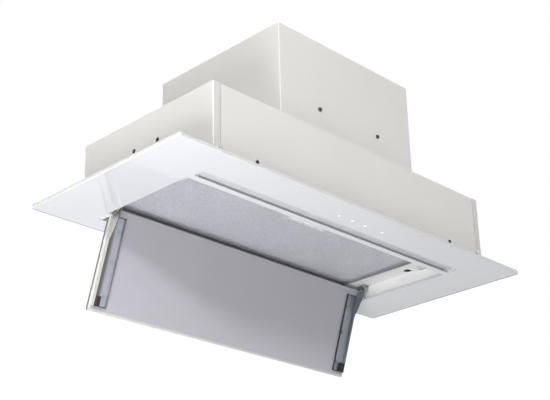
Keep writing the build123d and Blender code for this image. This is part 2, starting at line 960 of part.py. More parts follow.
def arm_screws():
    """Flat screws that hold both arms to the sheet."""
    z = flap_sheet_top
    head_low = z + arm_thickness
    solids = []
    for x, y in arm_screw_places():
        for side in (-1, 1):
            head = rod(arm_screw_radius, (side * x, y, head_low), (side * x, y, head_low + arm_screw_height))
            shank = rod(screw_radius, (side * x, y, z), (side * x, y, head_low))
            solids.append(head + shank)
    return group(solids)


def flap_catch():
    """Black catch at the free end of the arm, with a grip groove along its top."""
    low = flap_sheet_top + arm_thickness
    body = block(catch_inner_x, catch_outer_x, arm_front, arm_front + catch_length, low, catch_top)
    body = fillet(body.edges().filter_by(Axis.Y).sort_by(Axis.Z)[-2:], catch_radius)
    middle = (catch_inner_x + catch_outer_x) / 2
    groove = block(
        middle - catch_groove / 2, middle + catch_groove / 2, arm_front - over,
        arm_front + catch_length + over, catch_top - catch_groove, catch_top + over,
    )
    return body - groove


def hinge_bracket():
    """Fixed bracket that hangs from the shelf and carries the hinge pin."""
    inner, outer = bracket_x, bracket_x + bracket_thickness
    web = block(inner, outer, hinge_y - bracket_radius, hinge_y + bracket_radius, hinge_z, shelf_low)
    lobe = rod(bracket_radius, (inner, hinge_y, hinge_z), (outer, hinge_y, hinge_z))
    foot = block(
        inner, inner + bracket_foot, hinge_y - bracket_radius, hinge_y + bracket_radius,
        shelf_low - bracket_thickness, shelf_low,
    )
    bore = rod(
        hinge_pin_radius + hinge_pin_clearance, (inner - over, hinge_y, hinge_z), (outer + over, hinge_y, hinge_z)
    )
    return web + lobe + foot - bore


def hinge_pins():
    """Headed pins fixed in the brackets, on which the ears turn."""
    solids = []
    for side in (-1, 1):
        head_x = ear_inner_x - washer_thickness
        pin = rod(
            hinge_pin_radius,
            (side * head_x, hinge_y, hinge_z),
            (side * (bracket_x + bracket_thickness), hinge_y, hinge_z),
        )
        head = rod(
            hinge_head_radius,
            (side * (head_x - hinge_head_height), hinge_y, hinge_z),
            (side * head_x, hinge_y, hinge_z),
        )
        solids.append(pin + head)
    return group(solids)


def hinge_washers():
    """Friction washers on both sides of each ear, which hold the flap where it is put."""
    solids = []
    for side in (-1, 1):
        for inner in (ear_inner_x - washer_thickness, arm_outer_x):
            ends = (side * inner, side * (inner + washer_thickness))
            ring = rod(washer_radius, (ends[0], hinge_y, hinge_z), (ends[1], hinge_y, hinge_z))
            ring -= rod(
                hinge_pin_radius + hinge_pin_clearance,
                (ends[0] - side * over, hinge_y, hinge_z),
                (ends[1] + side * over, hinge_y, hinge_z),
            )
            solids.append(ring)
    return group(solids)


# Blower


def scroll_radius(angle):
    """Inside radius of the scroll, growing evenly from the tongue to the outlet."""
    share = (angle - scroll_start_angle) / (360 - scroll_start_angle)
    return scroll_start_radius + (scroll_end_radius - scroll_start_radius) * share


def scroll_curve(grow, first_angle):
    """Spiral edge of the scroll in (y, z), from first_angle round to the outlet wall."""
    points = []
    for i in range(scroll_points):
        angle = first_angle + (360 - first_angle) * i / (scroll_points - 1)
        radius = scroll_radius(angle) + grow
        turn = math.radians(angle)
        points.append((blower_y + radius * math.cos(turn), blower_z + radius * math.sin(turn)))
    return points


def tongue_y():
    """Place of the duct's front wall, where the spiral begins."""
    return blower_y + scroll_start_radius * math.cos(math.radians(scroll_start_angle))


def outer_start_angle():
    """Angle at which the outside of the spiral meets the outside of the duct's front wall."""
    reach = (tongue_y() - scroll_wall - blower_y) / (scroll_start_radius + scroll_wall)
    return math.degrees(math.acos(reach))


def scroll_wrap():
    """Spiral wall of the blower, ending in the straight duct."""
    inside = scroll_curve(0, scroll_start_angle)
    outside = scroll_curve(scroll_wall, outer_start_angle())
    front_in, front_out = tongue_y(), outside[0][0]
    rear_in, rear_out = inside[-1][0], outside[-1][0]
    edges = [
        Line((front_in, duct_top), inside[0]),
        Spline(*inside),
        Line(inside[-1], (rear_in, duct_top)),
        Line((rear_in, duct_top), (rear_out, duct_top)),
        Line((rear_out, duct_top), outside[-1]),
        Spline(*reversed(outside)),
        Line(outside[0], (front_out, duct_top)),
        Line((front_out, duct_top), (front_in, duct_top)),
    ]
    outline = make_face(edges)
    return Pos(-cheek_inner_x, 0, 0) * extrude(Plane.YZ * outline, scroll_inner_width)


def scroll_cheek():
    """Side plate of the scroll with the round air inlet."""
    outside = scroll_curve(scroll_wall, outer_start_angle())
    front_out, rear_out = outside[0][0], outside[-1][0]
    edges = [
        Spline(*outside),
        Line(outside[-1], (rear_out, duct_top)),
        Line((rear_out, duct_top), (front_out, duct_top)),
        Line((front_out, duct_top), outside[0]),
    ]
    solid = Pos(cheek_inner_x, 0, 0) * extrude(Plane.YZ * make_face(edges), cheek_thickness)
    solid -= rod(
        inlet_radius, (cheek_inner_x - over, blower_y, blower_z), (cheek_outer_x + over, blower_y, blower_z)
    )
    return solid


def blower_flange():
    """Plate on top of the scroll's duct, by which the blower hangs from the lid."""
    middle = (flange_front + flange_rear) / 2
    low = duct_top
    solid = slab(
        flange_width, flange_rear - flange_front, flange_corner, low, low + flange_thickness, y_mid=middle
    )
    solid -= block(
        -cheek_inner_x, cheek_inner_x, tongue_y(), blower_y + scroll_end_radius, low - over,
        low + flange_thickness + over,
    )
    return solid


def outlet_gasket():
    """Foam frame between the blower's flange and the lid."""
    low = duct_top + flange_thickness
    middle = (flange_front + flange_rear) / 2
    solid = slab(flange_width, flange_rear - flange_front, flange_corner, low, lid_low, y_mid=middle)
    solid -= rod(collar_bore_radius, (0, collar_y, low - over), (0, collar_y, lid_low + over))
    return solid


def impeller():
    """Drum impeller: centre disc and hub, two end rings and leaning blades."""
    half = impeller_width / 2
    centre = (blower_y, blower_z)
    disc = rod(impeller_radius, (-impeller_disc / 2, *centre), (impeller_disc / 2, *centre))
    hub = rod(hub_radius, (-hub_length / 2, *centre), (hub_length / 2, *centre))
    rings = []
    for side in (-1, 1):
        near, far = side * (half - impeller_ring_width), side * half
        ring = rod(impeller_radius, (near, *centre), (far, *centre))
        ring -= rod(
            impeller_radius - impeller_ring_depth, (near - side * over, *centre), (far + side * over, *centre)
        )
        rings.append(ring)
    tip = impeller_radius - impeller_ring_width / 2
    root = impeller_inner_radius
    lean = math.radians(blade_lean)
    blade_points = [
        (root, -blade_thickness / 2),
        (tip * math.cos(lean), tip * math.sin(lean) - blade_thickness / 2),
        (tip * math.cos(lean), tip * math.sin(lean) + blade_thickness / 2),
        (root, blade_thickness / 2),
    ]
    outline = make_face(Polyline(*blade_points, close=True))
    blade = Pos(-half, 0, 0) * extrude(Plane.YZ * outline, impeller_width)
    blades = [
        Pos(0, *centre) * Rot(360 * i / blade_count, 0, 0) * blade for i in range(blade_count)
    ]
    bore = rod(
        shaft_radius + shaft_clearance, (-hub_length / 2 - over, *centre), (hub_length / 2 + over, *centre)
    )
    return disc + hub + rings + blades - bore


def motor_ends():
    """Left and right end of the motor body along X."""
    right = -impeller_disc / 2 - motor_gap
    return right - motor_length, right


def motor_shaft():
    """Shaft through the motor into the hub."""
    left, right = motor_ends()
    return rod(
        shaft_radius, (left - bearing_length, blower_y, blower_z), (hub_length / 2, blower_y, blower_z)
    )


def motor_body():
    """Motor shell with a ribbed middle, bearing pockets and a channel for the shaft."""
    left, right = motor_ends()
    centre = (blower_y, blower_z)
    middle = (left + right) / 2
    solid = rod(motor_radius, (left, *centre), (right, *centre))
    solid += rod(
        motor_radius + motor_rib_height,
        (middle - motor_rib_length / 2, *centre),
        (middle + motor_rib_length / 2, *centre),
    )
    solid -= rod(shaft_radius + shaft_channel, (left - over, *centre), (right + over, *centre))
    for low, high in ((left - over, left + bearing_length), (right - bearing_length, right + over)):
        solid -= rod(bearing_radius + shaft_clearance, (low, *centre), (high, *centre))
    return solid


def motor_bearings():
    """Two bearing bushes in the ends of the motor."""
    left, right = motor_ends()
    centre = (blower_y, blower_z)
    solids = []
    for low in (left, right - bearing_length):
        ring = rod(bearing_radius, (low, *centre), (low + bearing_length, *centre))
        ring -= rod(
            shaft_radius + shaft_clearance, (low - over, *centre), (low + bearing_length + over, *centre)
        )
        solids.append(ring)
    return group(solids)


def motor_bracket():
    """Spider that carries the motor in front of the left inlet."""
    left = motor_ends()[0]
    low, high = left - spider_thickness, left
    centre = (blower_y, blower_z)
    solid = rod(motor_radius, (low, *centre), (high, *centre))
    half = spider_arm_width / 2
    arm = block(low, high, spider_inner_radius, spider_radius, -half, half)
    arm += block(low, -cheek_outer_x, spider_radius - spider_thickness, spider_radius, -half, half)
    arm += block(
        -cheek_outer_x - spider_thickness, -cheek_outer_x, spider_radius - spider_foot, spider_radius,
        -half, half,
    )
    for i in range(spider_arms):
        solid += Pos(0, *centre) * Rot(90 + 360 * i / spider_arms, 0, 0) * arm
    solid -= rod(spider_inner_radius, (low - over, *centre), (high + over, *centre))
    return motor_screw_holes(solid)


def motor_screw_places():
    """Places in (y, z) of the screws through the spider's feet."""
    reach = spider_radius - spider_foot / 2 - spider_thickness / 2
    turns = [math.radians(90 + 360 * i / spider_arms) for i in range(spider_arms)]
    return [(blower_y + reach * math.cos(turn), blower_z + reach * math.sin(turn)) for turn in turns]


def motor_screw_holes(solid):
    """Cuts the holes of the spider's screws, through foot and cheek."""
    for y, z in motor_screw_places():
        solid -= rod(
            screw_hole_radius, (-cheek_outer_x - spider_thickness - over, y, z), (-cheek_inner_x + over, y, z)
        )
    return solid


def motor_screws():
    """Screws through the spider's feet into the cheek."""
    x = -cheek_outer_x - spider_thickness
    length = spider_thickness + cheek_thickness
    return group(
        screw((x, y, z), (1, 0, 0), length, spider_screw_head) for y, z in motor_screw_places()
    )


# Outlet


def collar_screw_places():
    """Screws round the collar's flange."""
    radius = (collar_radius + collar_flange_radius) / 2
    places = []
    for i in range(collar_screw_count):
        turn = math.radians(360 * (i + 0.5) / collar_screw_count)
        places.append((radius * math.cos(turn), collar_y + radius * math.sin(turn)))
    return places


def outlet_collar():
    """Round spigot for the duct, with a seat for the non-return flaps and holes for their pins."""
    base, top = tower_top, tower_top + collar_height
    axis = (0, collar_y)
    bore_radius = collar_bore_radius
    solid = rod(collar_radius, (*axis, base), (*axis, top))
    solid += rod(collar_flange_radius, (*axis, base), (*axis, base + collar_flange_thickness))
    solid -= rod(bore_radius, (*axis, base - over), (*axis, top + over))
    seat_top = damper_z - damper_thickness / 2 - damper_seat_gap
    seat_low = seat_top - damper_seat_thickness
    ledge = rod(bore_radius + collar_wall / 2, (*axis, seat_low), (*axis, seat_top))
    ledge -= rod(bore_radius - damper_seat_width, (*axis, seat_low - over), (*axis, seat_top + over))
    gap = damper_pin_spacing / 2 + 2 * damper_sleeve_radius
    ledge -= block(
        -gap, gap, collar_y - collar_radius, collar_y + collar_radius, seat_low - over, seat_top + over
    )
    solid += ledge
    for side in (-1, 1):
        x = side * damper_pin_spacing / 2
        solid -= rod(
            damper_pin_radius + damper_pin_clearance,
            (x, collar_y - collar_radius - over, damper_z),
            (x, collar_y + collar_radius + over, damper_z),
        )
    for x, y in collar_screw_places():
        solid -= rod(screw_hole_radius, (x, y, base - over), (x, y, base + collar_flange_thickness + over))
    return solid


def collar_screws():
    """Screws that hold the collar to the lid."""
    seat_z = tower_top + collar_flange_thickness
    length = collar_flange_thickness + sheet
    return group(
        screw((x, y, seat_z), (0, 0, -1), length, collar_screw_head) for x, y in collar_screw_places()
    )


def damper():
    """Half-round non-return flap with its sleeve, lying closed."""
    radius = collar_bore_radius - damper_clearance
    x = damper_pin_spacing / 2
    leaf = rod(
        radius,
        (0, collar_y, damper_z - damper_thickness / 2),
        (0, collar_y, damper_z + damper_thickness / 2),
    )
    leaf -= block(
        -radius - over, x, collar_y - radius - over, collar_y + radius + over,
        damper_z - damper_thickness, damper_z + damper_thickness,
    )
    pin_room = damper_sleeve_radius + damper_clearance
    solid = leaf
    for side in (-1, 1):
        middle = collar_y + side * (radius - damper_sleeve_length / 2 - pin_room * 2)
        ends = (middle - damper_sleeve_length / 2, middle + damper_sleeve_length / 2)
        solid += rod(damper_sleeve_radius, (x, ends[0], damper_z), (x, ends[1], damper_z))
    solid -= rod(
        damper_pin_radius + damper_pin_clearance,
        (x, collar_y - radius - over, damper_z),
        (x, collar_y + radius + over, damper_z),
    )
    return solid


def damper_pins():
    """Two pins across the collar, on which the non-return flaps turn."""
    reach = collar_radius - collar_wall / 3
    return group(
        rod(
            damper_pin_radius,
            (side * damper_pin_spacing / 2, collar_y - reach, damper_z),
            (side * damper_pin_spacing / 2, collar_y + reach, damper_z),
        )
        for side in (-1, 1)
    )


# Electrical pieces


def power_box():
    """Terminal box on the left wall of the tower, open towards the blower."""
    wall = -tower_width / 2 + sheet
    inner = wall + power_box_depth
    y_low, y_high = power_box_y - power_box_length / 2, power_box_y + power_box_length / 2
    z_low, z_high = power_box_z - power_box_height / 2, power_box_z + power_box_height / 2
    solid = block(wall, inner, y_low, y_high, z_low, z_high)
    solid -= block(
        wall + power_box_wall, inner + over, y_low + power_box_wall, y_high - power_box_wall,
        z_low + power_box_wall, z_high - power_box_wall,
    )
    return solid


def power_box_cover():
    """Lid of the terminal box."""
    low = -tower_width / 2 + sheet + power_box_depth
    half_y, half_z = power_box_length / 2, power_box_height / 2
    solid = block(
        low, low + power_cover_thickness, power_box_y - half_y, power_box_y + half_y,
        power_box_z - half_z, power_box_z + half_z,
    )
    return fillet(solid.edges().filter_by(Axis.X), power_box_wall)


def power_board():
    """Circuit board on the back of the terminal box."""
    low = -tower_width / 2 + sheet + power_box_wall
    half_y = power_box_length / 2 - 2 * power_box_wall
    half_z = power_box_height / 2 - 2 * power_box_wall
    solid = block(
        low, low + board_thickness, power_box_y - half_y, power_box_y + half_y,
        power_box_z - half_z, power_box_z + half_z,
    )
    terminal = block(
        low + board_thickness, low + power_box_depth / 2, power_box_y - half_y, power_box_y + half_y / 2,
        power_box_z + half_z / 3, power_box_z + half_z,
    )
    return solid + terminal


def capacitor():
    """Run capacitor of the motor, upright beside the right wall of the tower."""
    x = tower_width / 2 - sheet - capacitor_clip_thickness - capacitor_radius
    half = capacitor_length / 2
    body = rod(capacitor_radius, (x, capacitor_y, capacitor_z - half), (x, capacitor_y, capacitor_z + half))
    neck = capacitor_radius / 3
    body += rod(
        neck, (x, capacitor_y, capacitor_z - half - neck), (x, capacitor_y, capacitor_z - half)
    )
    return body


def capacitor_clip():
    """Steel strap round the capacitor, with feet on the tower wall."""
    wall = tower_width / 2 - sheet
    x = wall - capacitor_clip_thickness - capacitor_radius
    half = capacitor_clip_width / 2
    outer_radius = capacitor_radius + capacitor_clip_thickness
    low, high = capacitor_z - half, capacitor_z + half
    reach = outer_radius + capacitor_clip_foot
    ring = rod(outer_radius, (x, capacitor_y, low), (x, capacitor_y, high))
    ring += block(x, wall, capacitor_y - outer_radius, capacitor_y + outer_radius, low, high)
    ring += block(wall - capacitor_clip_thickness, wall, capacitor_y - reach, capacitor_y + reach, low, high)
    ring -= rod(
        capacitor_radius + shaft_clearance, (x, capacitor_y, low - over), (x, capacitor_y, high + over)
    )
    return ring


def cable_gland():
    """Gland for the mains lead in the tower lid: flange and dome outside, thread inside."""
    axis = (gland_x, gland_y)
    top = tower_top + gland_height
    solid = rod(gland_thread_radius, (*axis, tower_top - gland_depth), (*axis, top))
    solid += rod(gland_flange_radius, (*axis, tower_top), (*axis, tower_top + gland_flange_height))
    solid = chamfer(solid.faces().sort_by(Axis.Z)[-1].edges(), gland_bore_radius / 4)
    solid -= rod(gland_bore_radius, (*axis, tower_top - gland_depth - over), (*axis, top + over))
    return solid


def gland_nut():
    """Hexagon nut that holds the gland from inside."""
    outline = RegularPolygon(gland_flange_radius, 6)
    low = lid_low - gland_nut_height
    solid = Pos(gland_x, gland_y, low) * extrude(outline, gland_nut_height)
    solid -= rod(
        gland_thread_radius + gland_thread_clearance, (gland_x, gland_y, low - over), (gland_x, gland_y, lid_low + over)
    )
    return solid


def swing_open(solid):
    """Turns a flap piece from closed to the open position that it has at rest."""
    return solid.rotate(Axis((0, hinge_y, hinge_z), (1, 0, 0)), flap_open_angle)


def build_nodes():
    """Every node of the hood by name."""
    nodes = {
        "glass_panel": glass_panel(),
        "touch_marks": touch_marks(),
        "panel_rim": panel_rim(),
        "cabinet_seal": cabinet_seal(),
        "touch_board": touch_board(),
        "touch_cover": touch_cover(),
        "light_channel": light_channel(),
        "light_diffuser": light_diffuser(),
        "light_board": light_board(),
        "light_driver": light_driver(),
        "housing_wrap": housing_wrap(),
        "rim_angles": rim_angles(),
        "housing_screws": housing_screws(),
        "tower_wrap": tower_wrap(),
        "tower_back": tower_back(),
        "tower_lid": tower_lid(),
        "tower_rail": tower_rail(),
        "tower_screws": tower_screws(),
        "tower_rivets": tower_rivets(),
        "recess_pan": recess_pan(),
        "catch_strikers": catch_strikers(),
        "filter_frame": filter_frame(),
        "filter_mesh": filter_mesh(),
        "filter_latch": filter_latch(),
        "hinge_pins": hinge_pins(),
        "hinge_washers": hinge_washers(),
        "scroll_wrap": scroll_wrap(),
        "blower_flange": blower_flange(),
        "outlet_gasket": outlet_gasket(),
        "impeller": impeller(),
        "motor_shaft": motor_shaft(),
        "motor_body": motor_body(),
        "motor_bearings": motor_bearings(),
        "motor_bracket": motor_bracket(),
        "motor_screws": motor_screws(),
        "outlet_collar": outlet_collar(),
        "collar_screws": collar_screws(),
        "damper_pins": damper_pins(),
        "power_box": power_box(),
        "power_board": power_board(),
        "power_box_cover": power_box_cover(),
        "capacitor": capacitor(),
        "capacitor_clip": capacitor_clip(),
        "cable_gland": cable_gland(),
        "gland_nut": gland_nut(),
        "flap_glass": swing_open(flap_glass()),
        "flap_sheet": swing_open(flap_sheet()),
        "arm_screws": swing_open(arm_screws()),
    }
    pairs = {
        "housing_end": both(housing_end),
        "hinge_bracket": both(hinge_bracket),
        "scroll_cheek": both(scroll_cheek) | {"left": motor_screw_holes(mirror(scroll_cheek(), Plane.YZ))},
        "damper": both(damper),
    }
    for name, sides in pairs.items():
        for side, solid in sides.items():
            nodes[f"{name}_{side}"] = solid
    for name, make in (("flap_arm", flap_arm), ("flap_catch", flap_catch)):
        for side, solid in both(make).items():
            nodes[f"{name}_{side}"] = swing_open(solid)
    return nodes


os.makedirs("parts", exist_ok=True)
for node_name, node_solid in build_nodes().items():
    export_step(node_solid, f"parts/{node_name}.step")
    print(node_name, round(node_solid.volume))
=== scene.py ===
# %% [markdown]
# # A built-in range hood
#
# This hood hides in a wall cupboard. From below you see a white glass panel, a light slot, a touch
# field, a grease filter and a glass flap that swings down. Above the panel sit a low sheet housing
# and a tower with the blower in it. The shapes come in ready-made and in real sizes, so this
# lesson is about finishes, small details, light and the camera.

# %% Load the hood
import math

import bmesh
import bpy
from mathutils import Matrix, Vector


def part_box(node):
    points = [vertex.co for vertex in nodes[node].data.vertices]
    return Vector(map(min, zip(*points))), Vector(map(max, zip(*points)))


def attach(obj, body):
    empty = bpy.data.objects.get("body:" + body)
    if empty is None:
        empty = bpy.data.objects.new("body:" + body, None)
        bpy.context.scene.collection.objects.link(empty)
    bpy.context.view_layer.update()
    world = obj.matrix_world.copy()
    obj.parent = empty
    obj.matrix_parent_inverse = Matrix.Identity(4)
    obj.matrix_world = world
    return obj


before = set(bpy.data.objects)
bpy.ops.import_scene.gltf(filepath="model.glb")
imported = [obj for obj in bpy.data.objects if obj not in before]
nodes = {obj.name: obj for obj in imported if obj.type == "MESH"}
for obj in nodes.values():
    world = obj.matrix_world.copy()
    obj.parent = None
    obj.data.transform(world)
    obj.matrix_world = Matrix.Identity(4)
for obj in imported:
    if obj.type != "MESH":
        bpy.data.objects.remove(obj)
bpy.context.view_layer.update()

# %% [markdown]
# ## The camera
#
# The picture was taken from low on the left, looking up at the panel. A camera can be aimed with a
# target and a constraint, but here the place and the three view directions were solved from the
# corners of the panel, so they are written straight into the camera's matrix. The long lens keeps
# the far edge large.

# %% Place the camera
scene = bpy.context.scene
camera_data = bpy.data.cameras.new("camera")
camera_data.sensor_width = 36.0
camera_data.lens = 79.74
camera_data.clip_end = 60.0
camera = bpy.data.objects.new("camera", camera_data)
scene.collection.objects.link(camera)
camera_place = (-1.2588, -1.1739, -0.6881)
view_right = Vector((0.70025, -0.71356, -0.02208))
view_down = Vector((0.27216, 0.29542, -0.91578))
view_ahead = Vector((0.65999, 0.63526, 0.40106))
turn = Matrix((view_right, -view_down, -view_ahead)).transposed().to_4x4()
camera.matrix_world = Matrix.Translation(camera_place) @ turn
scene.camera = camera
scene.view_settings.view_transform = "Standard"
print("camera looks along", tuple(round(v, 2) for v in view_ahead))

# %% [markdown]
# ## A small kit for finishes
#
# Every finish here is a Principled shader with a few texture nodes in front of it. Real surfaces
# are never one flat value, so most finishes get a slow drift of their colour, an uneven gloss and
# a fine relief. A few helpers keep that short: they make the shader, add a pattern in object
# space, spread its values, blend two colours, plug them in and turn a pattern into a bump. Object
# space has real metres, so a scale of 400 means grains of about 2.5 mm.


# %% Shader helpers
def shade(colour, factor):
    """The same colour, lighter or darker."""
    return tuple(min(1.0, channel * factor) for channel in colour)


def new_finish(name, colour, roughness, metallic=0.0, **sockets):
    """A Principled material and the tools to wire it."""
    finish = bpy.data.materials.new(name)
    finish.use_nodes = True
    tree = finish.node_tree
    surface = tree.nodes["Principled BSDF"]
    surface.inputs["Base Color"].default_value = (*colour, 1.0)
    surface.inputs["Roughness"].default_value = roughness
    surface.inputs["Metallic"].default_value = metallic
    for socket, value in sockets.items():
        surface.inputs[socket.replace("_", " ").title().replace("Ior", "IOR")].default_value = value
    return finish, tree, surface


def place_in(tree, stretch=(1.0, 1.0, 1.0), tilt=0.0):
    """Object coordinates, turned about X by a tilt, then stretched to give a grain a direction."""
    coordinates = tree.nodes.new("ShaderNodeTexCoord")
    turned = tree.nodes.new("ShaderNodeMapping")
    turned.inputs["Rotation"].default_value = (tilt, 0.0, 0.0)
    mapping = tree.nodes.new("ShaderNodeMapping")
    mapping.inputs["Scale"].default_value = stretch
    tree.links.new(coordinates.outputs["Object"], turned.inputs["Vector"])
    tree.links.new(turned.outputs["Vector"], mapping.inputs["Vector"])
    return mapping.outputs["Vector"]


def noise_in(tree, place, scale, detail=3.0):
    """A noise of so many grains per metre."""
    noise = tree.nodes.new("ShaderNodeTexNoise")
    noise.inputs["Scale"].default_value = scale
    noise.inputs["Detail"].default_value = detail
    tree.links.new(place, noise.inputs["Vector"])
    return noise.outputs["Fac"]


def cells_in(tree, place, scale):
    """A Voronoi pattern of so many cells per metre, as the set of its outputs."""
    cells = tree.nodes.new("ShaderNodeTexVoronoi")
    cells.inputs["Scale"].default_value = scale
    tree.links.new(place, cells.inputs["Vector"])
    return cells.outputs


def spread(tree, value, low, high, low_in=0.3, high_in=0.7):
    """Maps the values between two limits to a range, for gloss or for a mask."""
    span = tree.nodes.new("ShaderNodeMapRange")
    span.inputs["From Min"].default_value = low_in
    span.inputs["From Max"].default_value = high_in
    span.inputs["To Min"].default_value = low
    span.inputs["To Max"].default_value = high
    tree.links.new(value, span.inputs["Value"])
    return span.outputs["Result"]


def blend_colours(tree, mask, first, second):
    """Mixes two colours by a mask. Either may be a plain colour or a socket."""
    mix = tree.nodes.new("ShaderNodeMix")
    mix.data_type = "RGBA"
    tree.links.new(mask, mix.inputs["Factor"])
    for socket, colour in ((mix.inputs[6], first), (mix.inputs[7], second)):
        if isinstance(colour, tuple):
            socket.default_value = (*colour, 1.0)
        else:
            tree.links.new(colour, socket)
    return mix.outputs[2]


def plug_in(tree, surface, colour, gloss):
    """Feeds the shader its colour and its roughness."""
    tree.links.new(colour, surface.inputs["Base Color"])
    tree.links.new(gloss, surface.inputs["Roughness"])


def relief(tree, surface, height, strength, depth):
    """Bump from a height, with its real depth in metres."""
    bump = tree.nodes.new("ShaderNodeBump")
    bump.inputs["Strength"].default_value = strength
    bump.inputs["Distance"].default_value = depth
    tree.links.new(height, bump.inputs["Height"])
    tree.links.new(bump.outputs["Normal"], surface.inputs["Normal"])


print("shader helpers ready")

# %% [markdown]
# ## A small kit for masks
#
# Some tones depend on the place: a cut edge, a fold, one side of the hood. Painting them by hand
# would need an image, but every piece here is exactly where its sizes say, so a measure does it.
# How far a point lies along a direction, or from the middle, becomes black and white at a limit,
# and that is a mask. Two masks can be joined, and lay_over puts a new tone on a finish wherever
# its mask is white.


# %% Mask helpers
rightward = (1.0, 0.0, 0.0)
forward = (0.0, -1.0, 0.0)
rearward = (0.0, 1.0, 0.0)
upward = (0.0, 0.0, 1.0)


def calculate(tree, operation, first, second=None):
    """One step of arithmetic with one value or with two."""
    step = tree.nodes.new("ShaderNodeMath")
    step.operation = operation
    tree.links.new(first, step.inputs[0])
    if second is not None:
        tree.links.new(second, step.inputs[1])
    return step.outputs["Value"]


def both(tree, first, second):
    """One where both masks are one."""
    return calculate(tree, "MULTIPLY", first, second)


def either(tree, first, second):
    """The larger of two masks."""
    return calculate(tree, "MAXIMUM", first, second)


def where_along(tree, output, direction):
    """How far a point, or a normal, goes along a direction."""
    coordinates = tree.nodes.new("ShaderNodeTexCoord")
    reach = tree.nodes.new("ShaderNodeVectorMath")
    reach.operation = "DOT_PRODUCT"
    reach.inputs[1].default_value = direction
    tree.links.new(coordinates.outputs[output], reach.inputs[0])
    return reach.outputs["Value"]


def from_middle(tree):
    """How far a point lies to either side of the middle."""
    return calculate(tree, "ABSOLUTE", where_along(tree, "Object", rightward))


def beyond(tree, value, limit, softness=0.001):
    """A mask that is one where a value lies beyond a limit."""
    return spread(tree, value, 0.0, 1.0, limit - softness, limit)


def short_of(tree, value, limit, softness):
    """A mask that is one where a value stays short of a limit."""
    return spread(tree, value, 1.0, 0.0, limit, limit + softness)


def lay_over(finish, mask, tone):
    """Lays a tone over the colour that a finish has so far, where a mask is one."""
    tree = finish.node_tree
    colour = tree.nodes["Principled BSDF"].inputs["Base Color"]
    tree.links.new(blend_colours(tree, mask, colour.links[0].from_socket, tone), colour)


print("mask helpers ready")

# %% [markdown]
# ## White glass
#
# The panel and the flap are clear glass with white enamel fired on the back. The eye sees the
# enamel through a flawless surface, so the base is a smooth white and a full coat does the
# reflecting. The ground edge of such glass has no enamel behind it. The mesh normal tells the two
# apart: face and back look along one direction, and whatever turns away from it is edge. The edge
# tones are painted light and shade: the panel's outer edges are painted pale, as if they caught the
# light of the room, the long edges of its openings are painted grey, as if they looked into the
# dark recess, the rear one less so, and the flap's outer edges are painted nearly black. A box mask
# tells outer from inner by the distance from the middle: outer is what lies just inside the ends
# of the flap or farther to the side, and the last millimetres to front and rear. Along the wall
# side the last two or three millimetres carry a thin dark line of painted shade, and the last three
# millimetres at the right end are darker too. The back of the enamel is duller, and on the flap it
# is painted darker still, as shade.


# %% Glass finish
outer_half_width, outer_half_depth = 0.269, 0.150
opening_rear = 0.115
rear_shade_start, right_dark_start = 0.1546, 0.3670
crisp = 0.0002
# Painted shade on the ground edges of the openings: grey at the long edges, lighter at the rear.
opening_edge_painted_shade, rear_edge_painted_shade = (0.37, 0.38, 0.40), (0.62, 0.62, 0.63)
# A thin dark line of painted shade along the wall side, and a darker band at the right end.
rear_painted_shade_line, right_line = (0.16, 0.17, 0.175), (0.05, 0.052, 0.056)


def white_glass(name, back_direction, enamel, outer_edge_painted_shading, back):
    """Enamelled glass with tones for face and back, and painted light and shade on its edges and
    rear line.
    """
    finish, tree, surface = new_finish(
        name, enamel, roughness=0.22, coat_weight=1.0, coat_roughness=0.03, specular_ior_level=0.1
    )
    place = place_in(tree)
    to_right = where_along(tree, "Object", rightward)
    to_rear = where_along(tree, "Object", rearward)
    facing = where_along(tree, "Normal", back_direction)
    drift = spread(tree, noise_in(tree, place, scale=5.0, detail=1.0), 0.0, 1.0)
    sheet = blend_colours(tree, drift, shade(enamel, 0.985), shade(enamel, 1.01))
    sheet = blend_colours(tree, beyond(tree, facing, limit=0.6, softness=0.1), sheet, back)
    at_rear = beyond(tree, to_rear, opening_rear, crisp)
    inner_edge = blend_colours(tree, at_rear, opening_edge_painted_shade, rear_edge_painted_shade)
    outside = either(
        tree,
        beyond(tree, from_middle(tree), outer_half_width),
        beyond(tree, calculate(tree, "ABSOLUTE", to_rear), outer_half_depth),
    )
    # The ground edges take painted light on the outside and painted shade on the inside.
    edge_painted_shading = blend_colours(tree, outside, inner_edge, outer_edge_painted_shading)
    turned_away = short_of(tree, calculate(tree, "ABSOLUTE", facing), limit=0.2, softness=0.7)
    plug_in(
        tree, surface,
        blend_colours(tree, turned_away, sheet, edge_painted_shading),
        spread(tree, noise_in(tree, place, scale=60.0), 0.18, 0.27),
    )
    # Painted shade along the wall side, then a dark band at the right end.
    lay_over(finish, beyond(tree, to_rear, rear_shade_start, crisp), rear_painted_shade_line)
    lay_over(finish, beyond(tree, to_right, right_dark_start, crisp), right_line)
    return finish


flap_tilt = math.radians(108.7)
flap_back = (0.0, -math.sin(flap_tilt), math.cos(flap_tilt))
enamel_white = (0.82, 0.83, 0.875)
# The panel's outer edges are painted pale, as painted light.
panel_glass = white_glass(
    "panel_glass", upward, enamel_white,
    outer_edge_painted_shading=(0.69, 0.70, 0.71), back=(0.74, 0.74, 0.75),
)
# The flap's outer edges are painted nearly black and its back darker, as painted shade.
flap_glass = white_glass(
    "flap_glass_white", flap_back, enamel_white,
    outer_edge_painted_shading=(0.12, 0.125, 0.11), back=(0.62, 0.615, 0.60),
)
print("the flap's back looks along", tuple(round(v, 2) for v in flap_back))

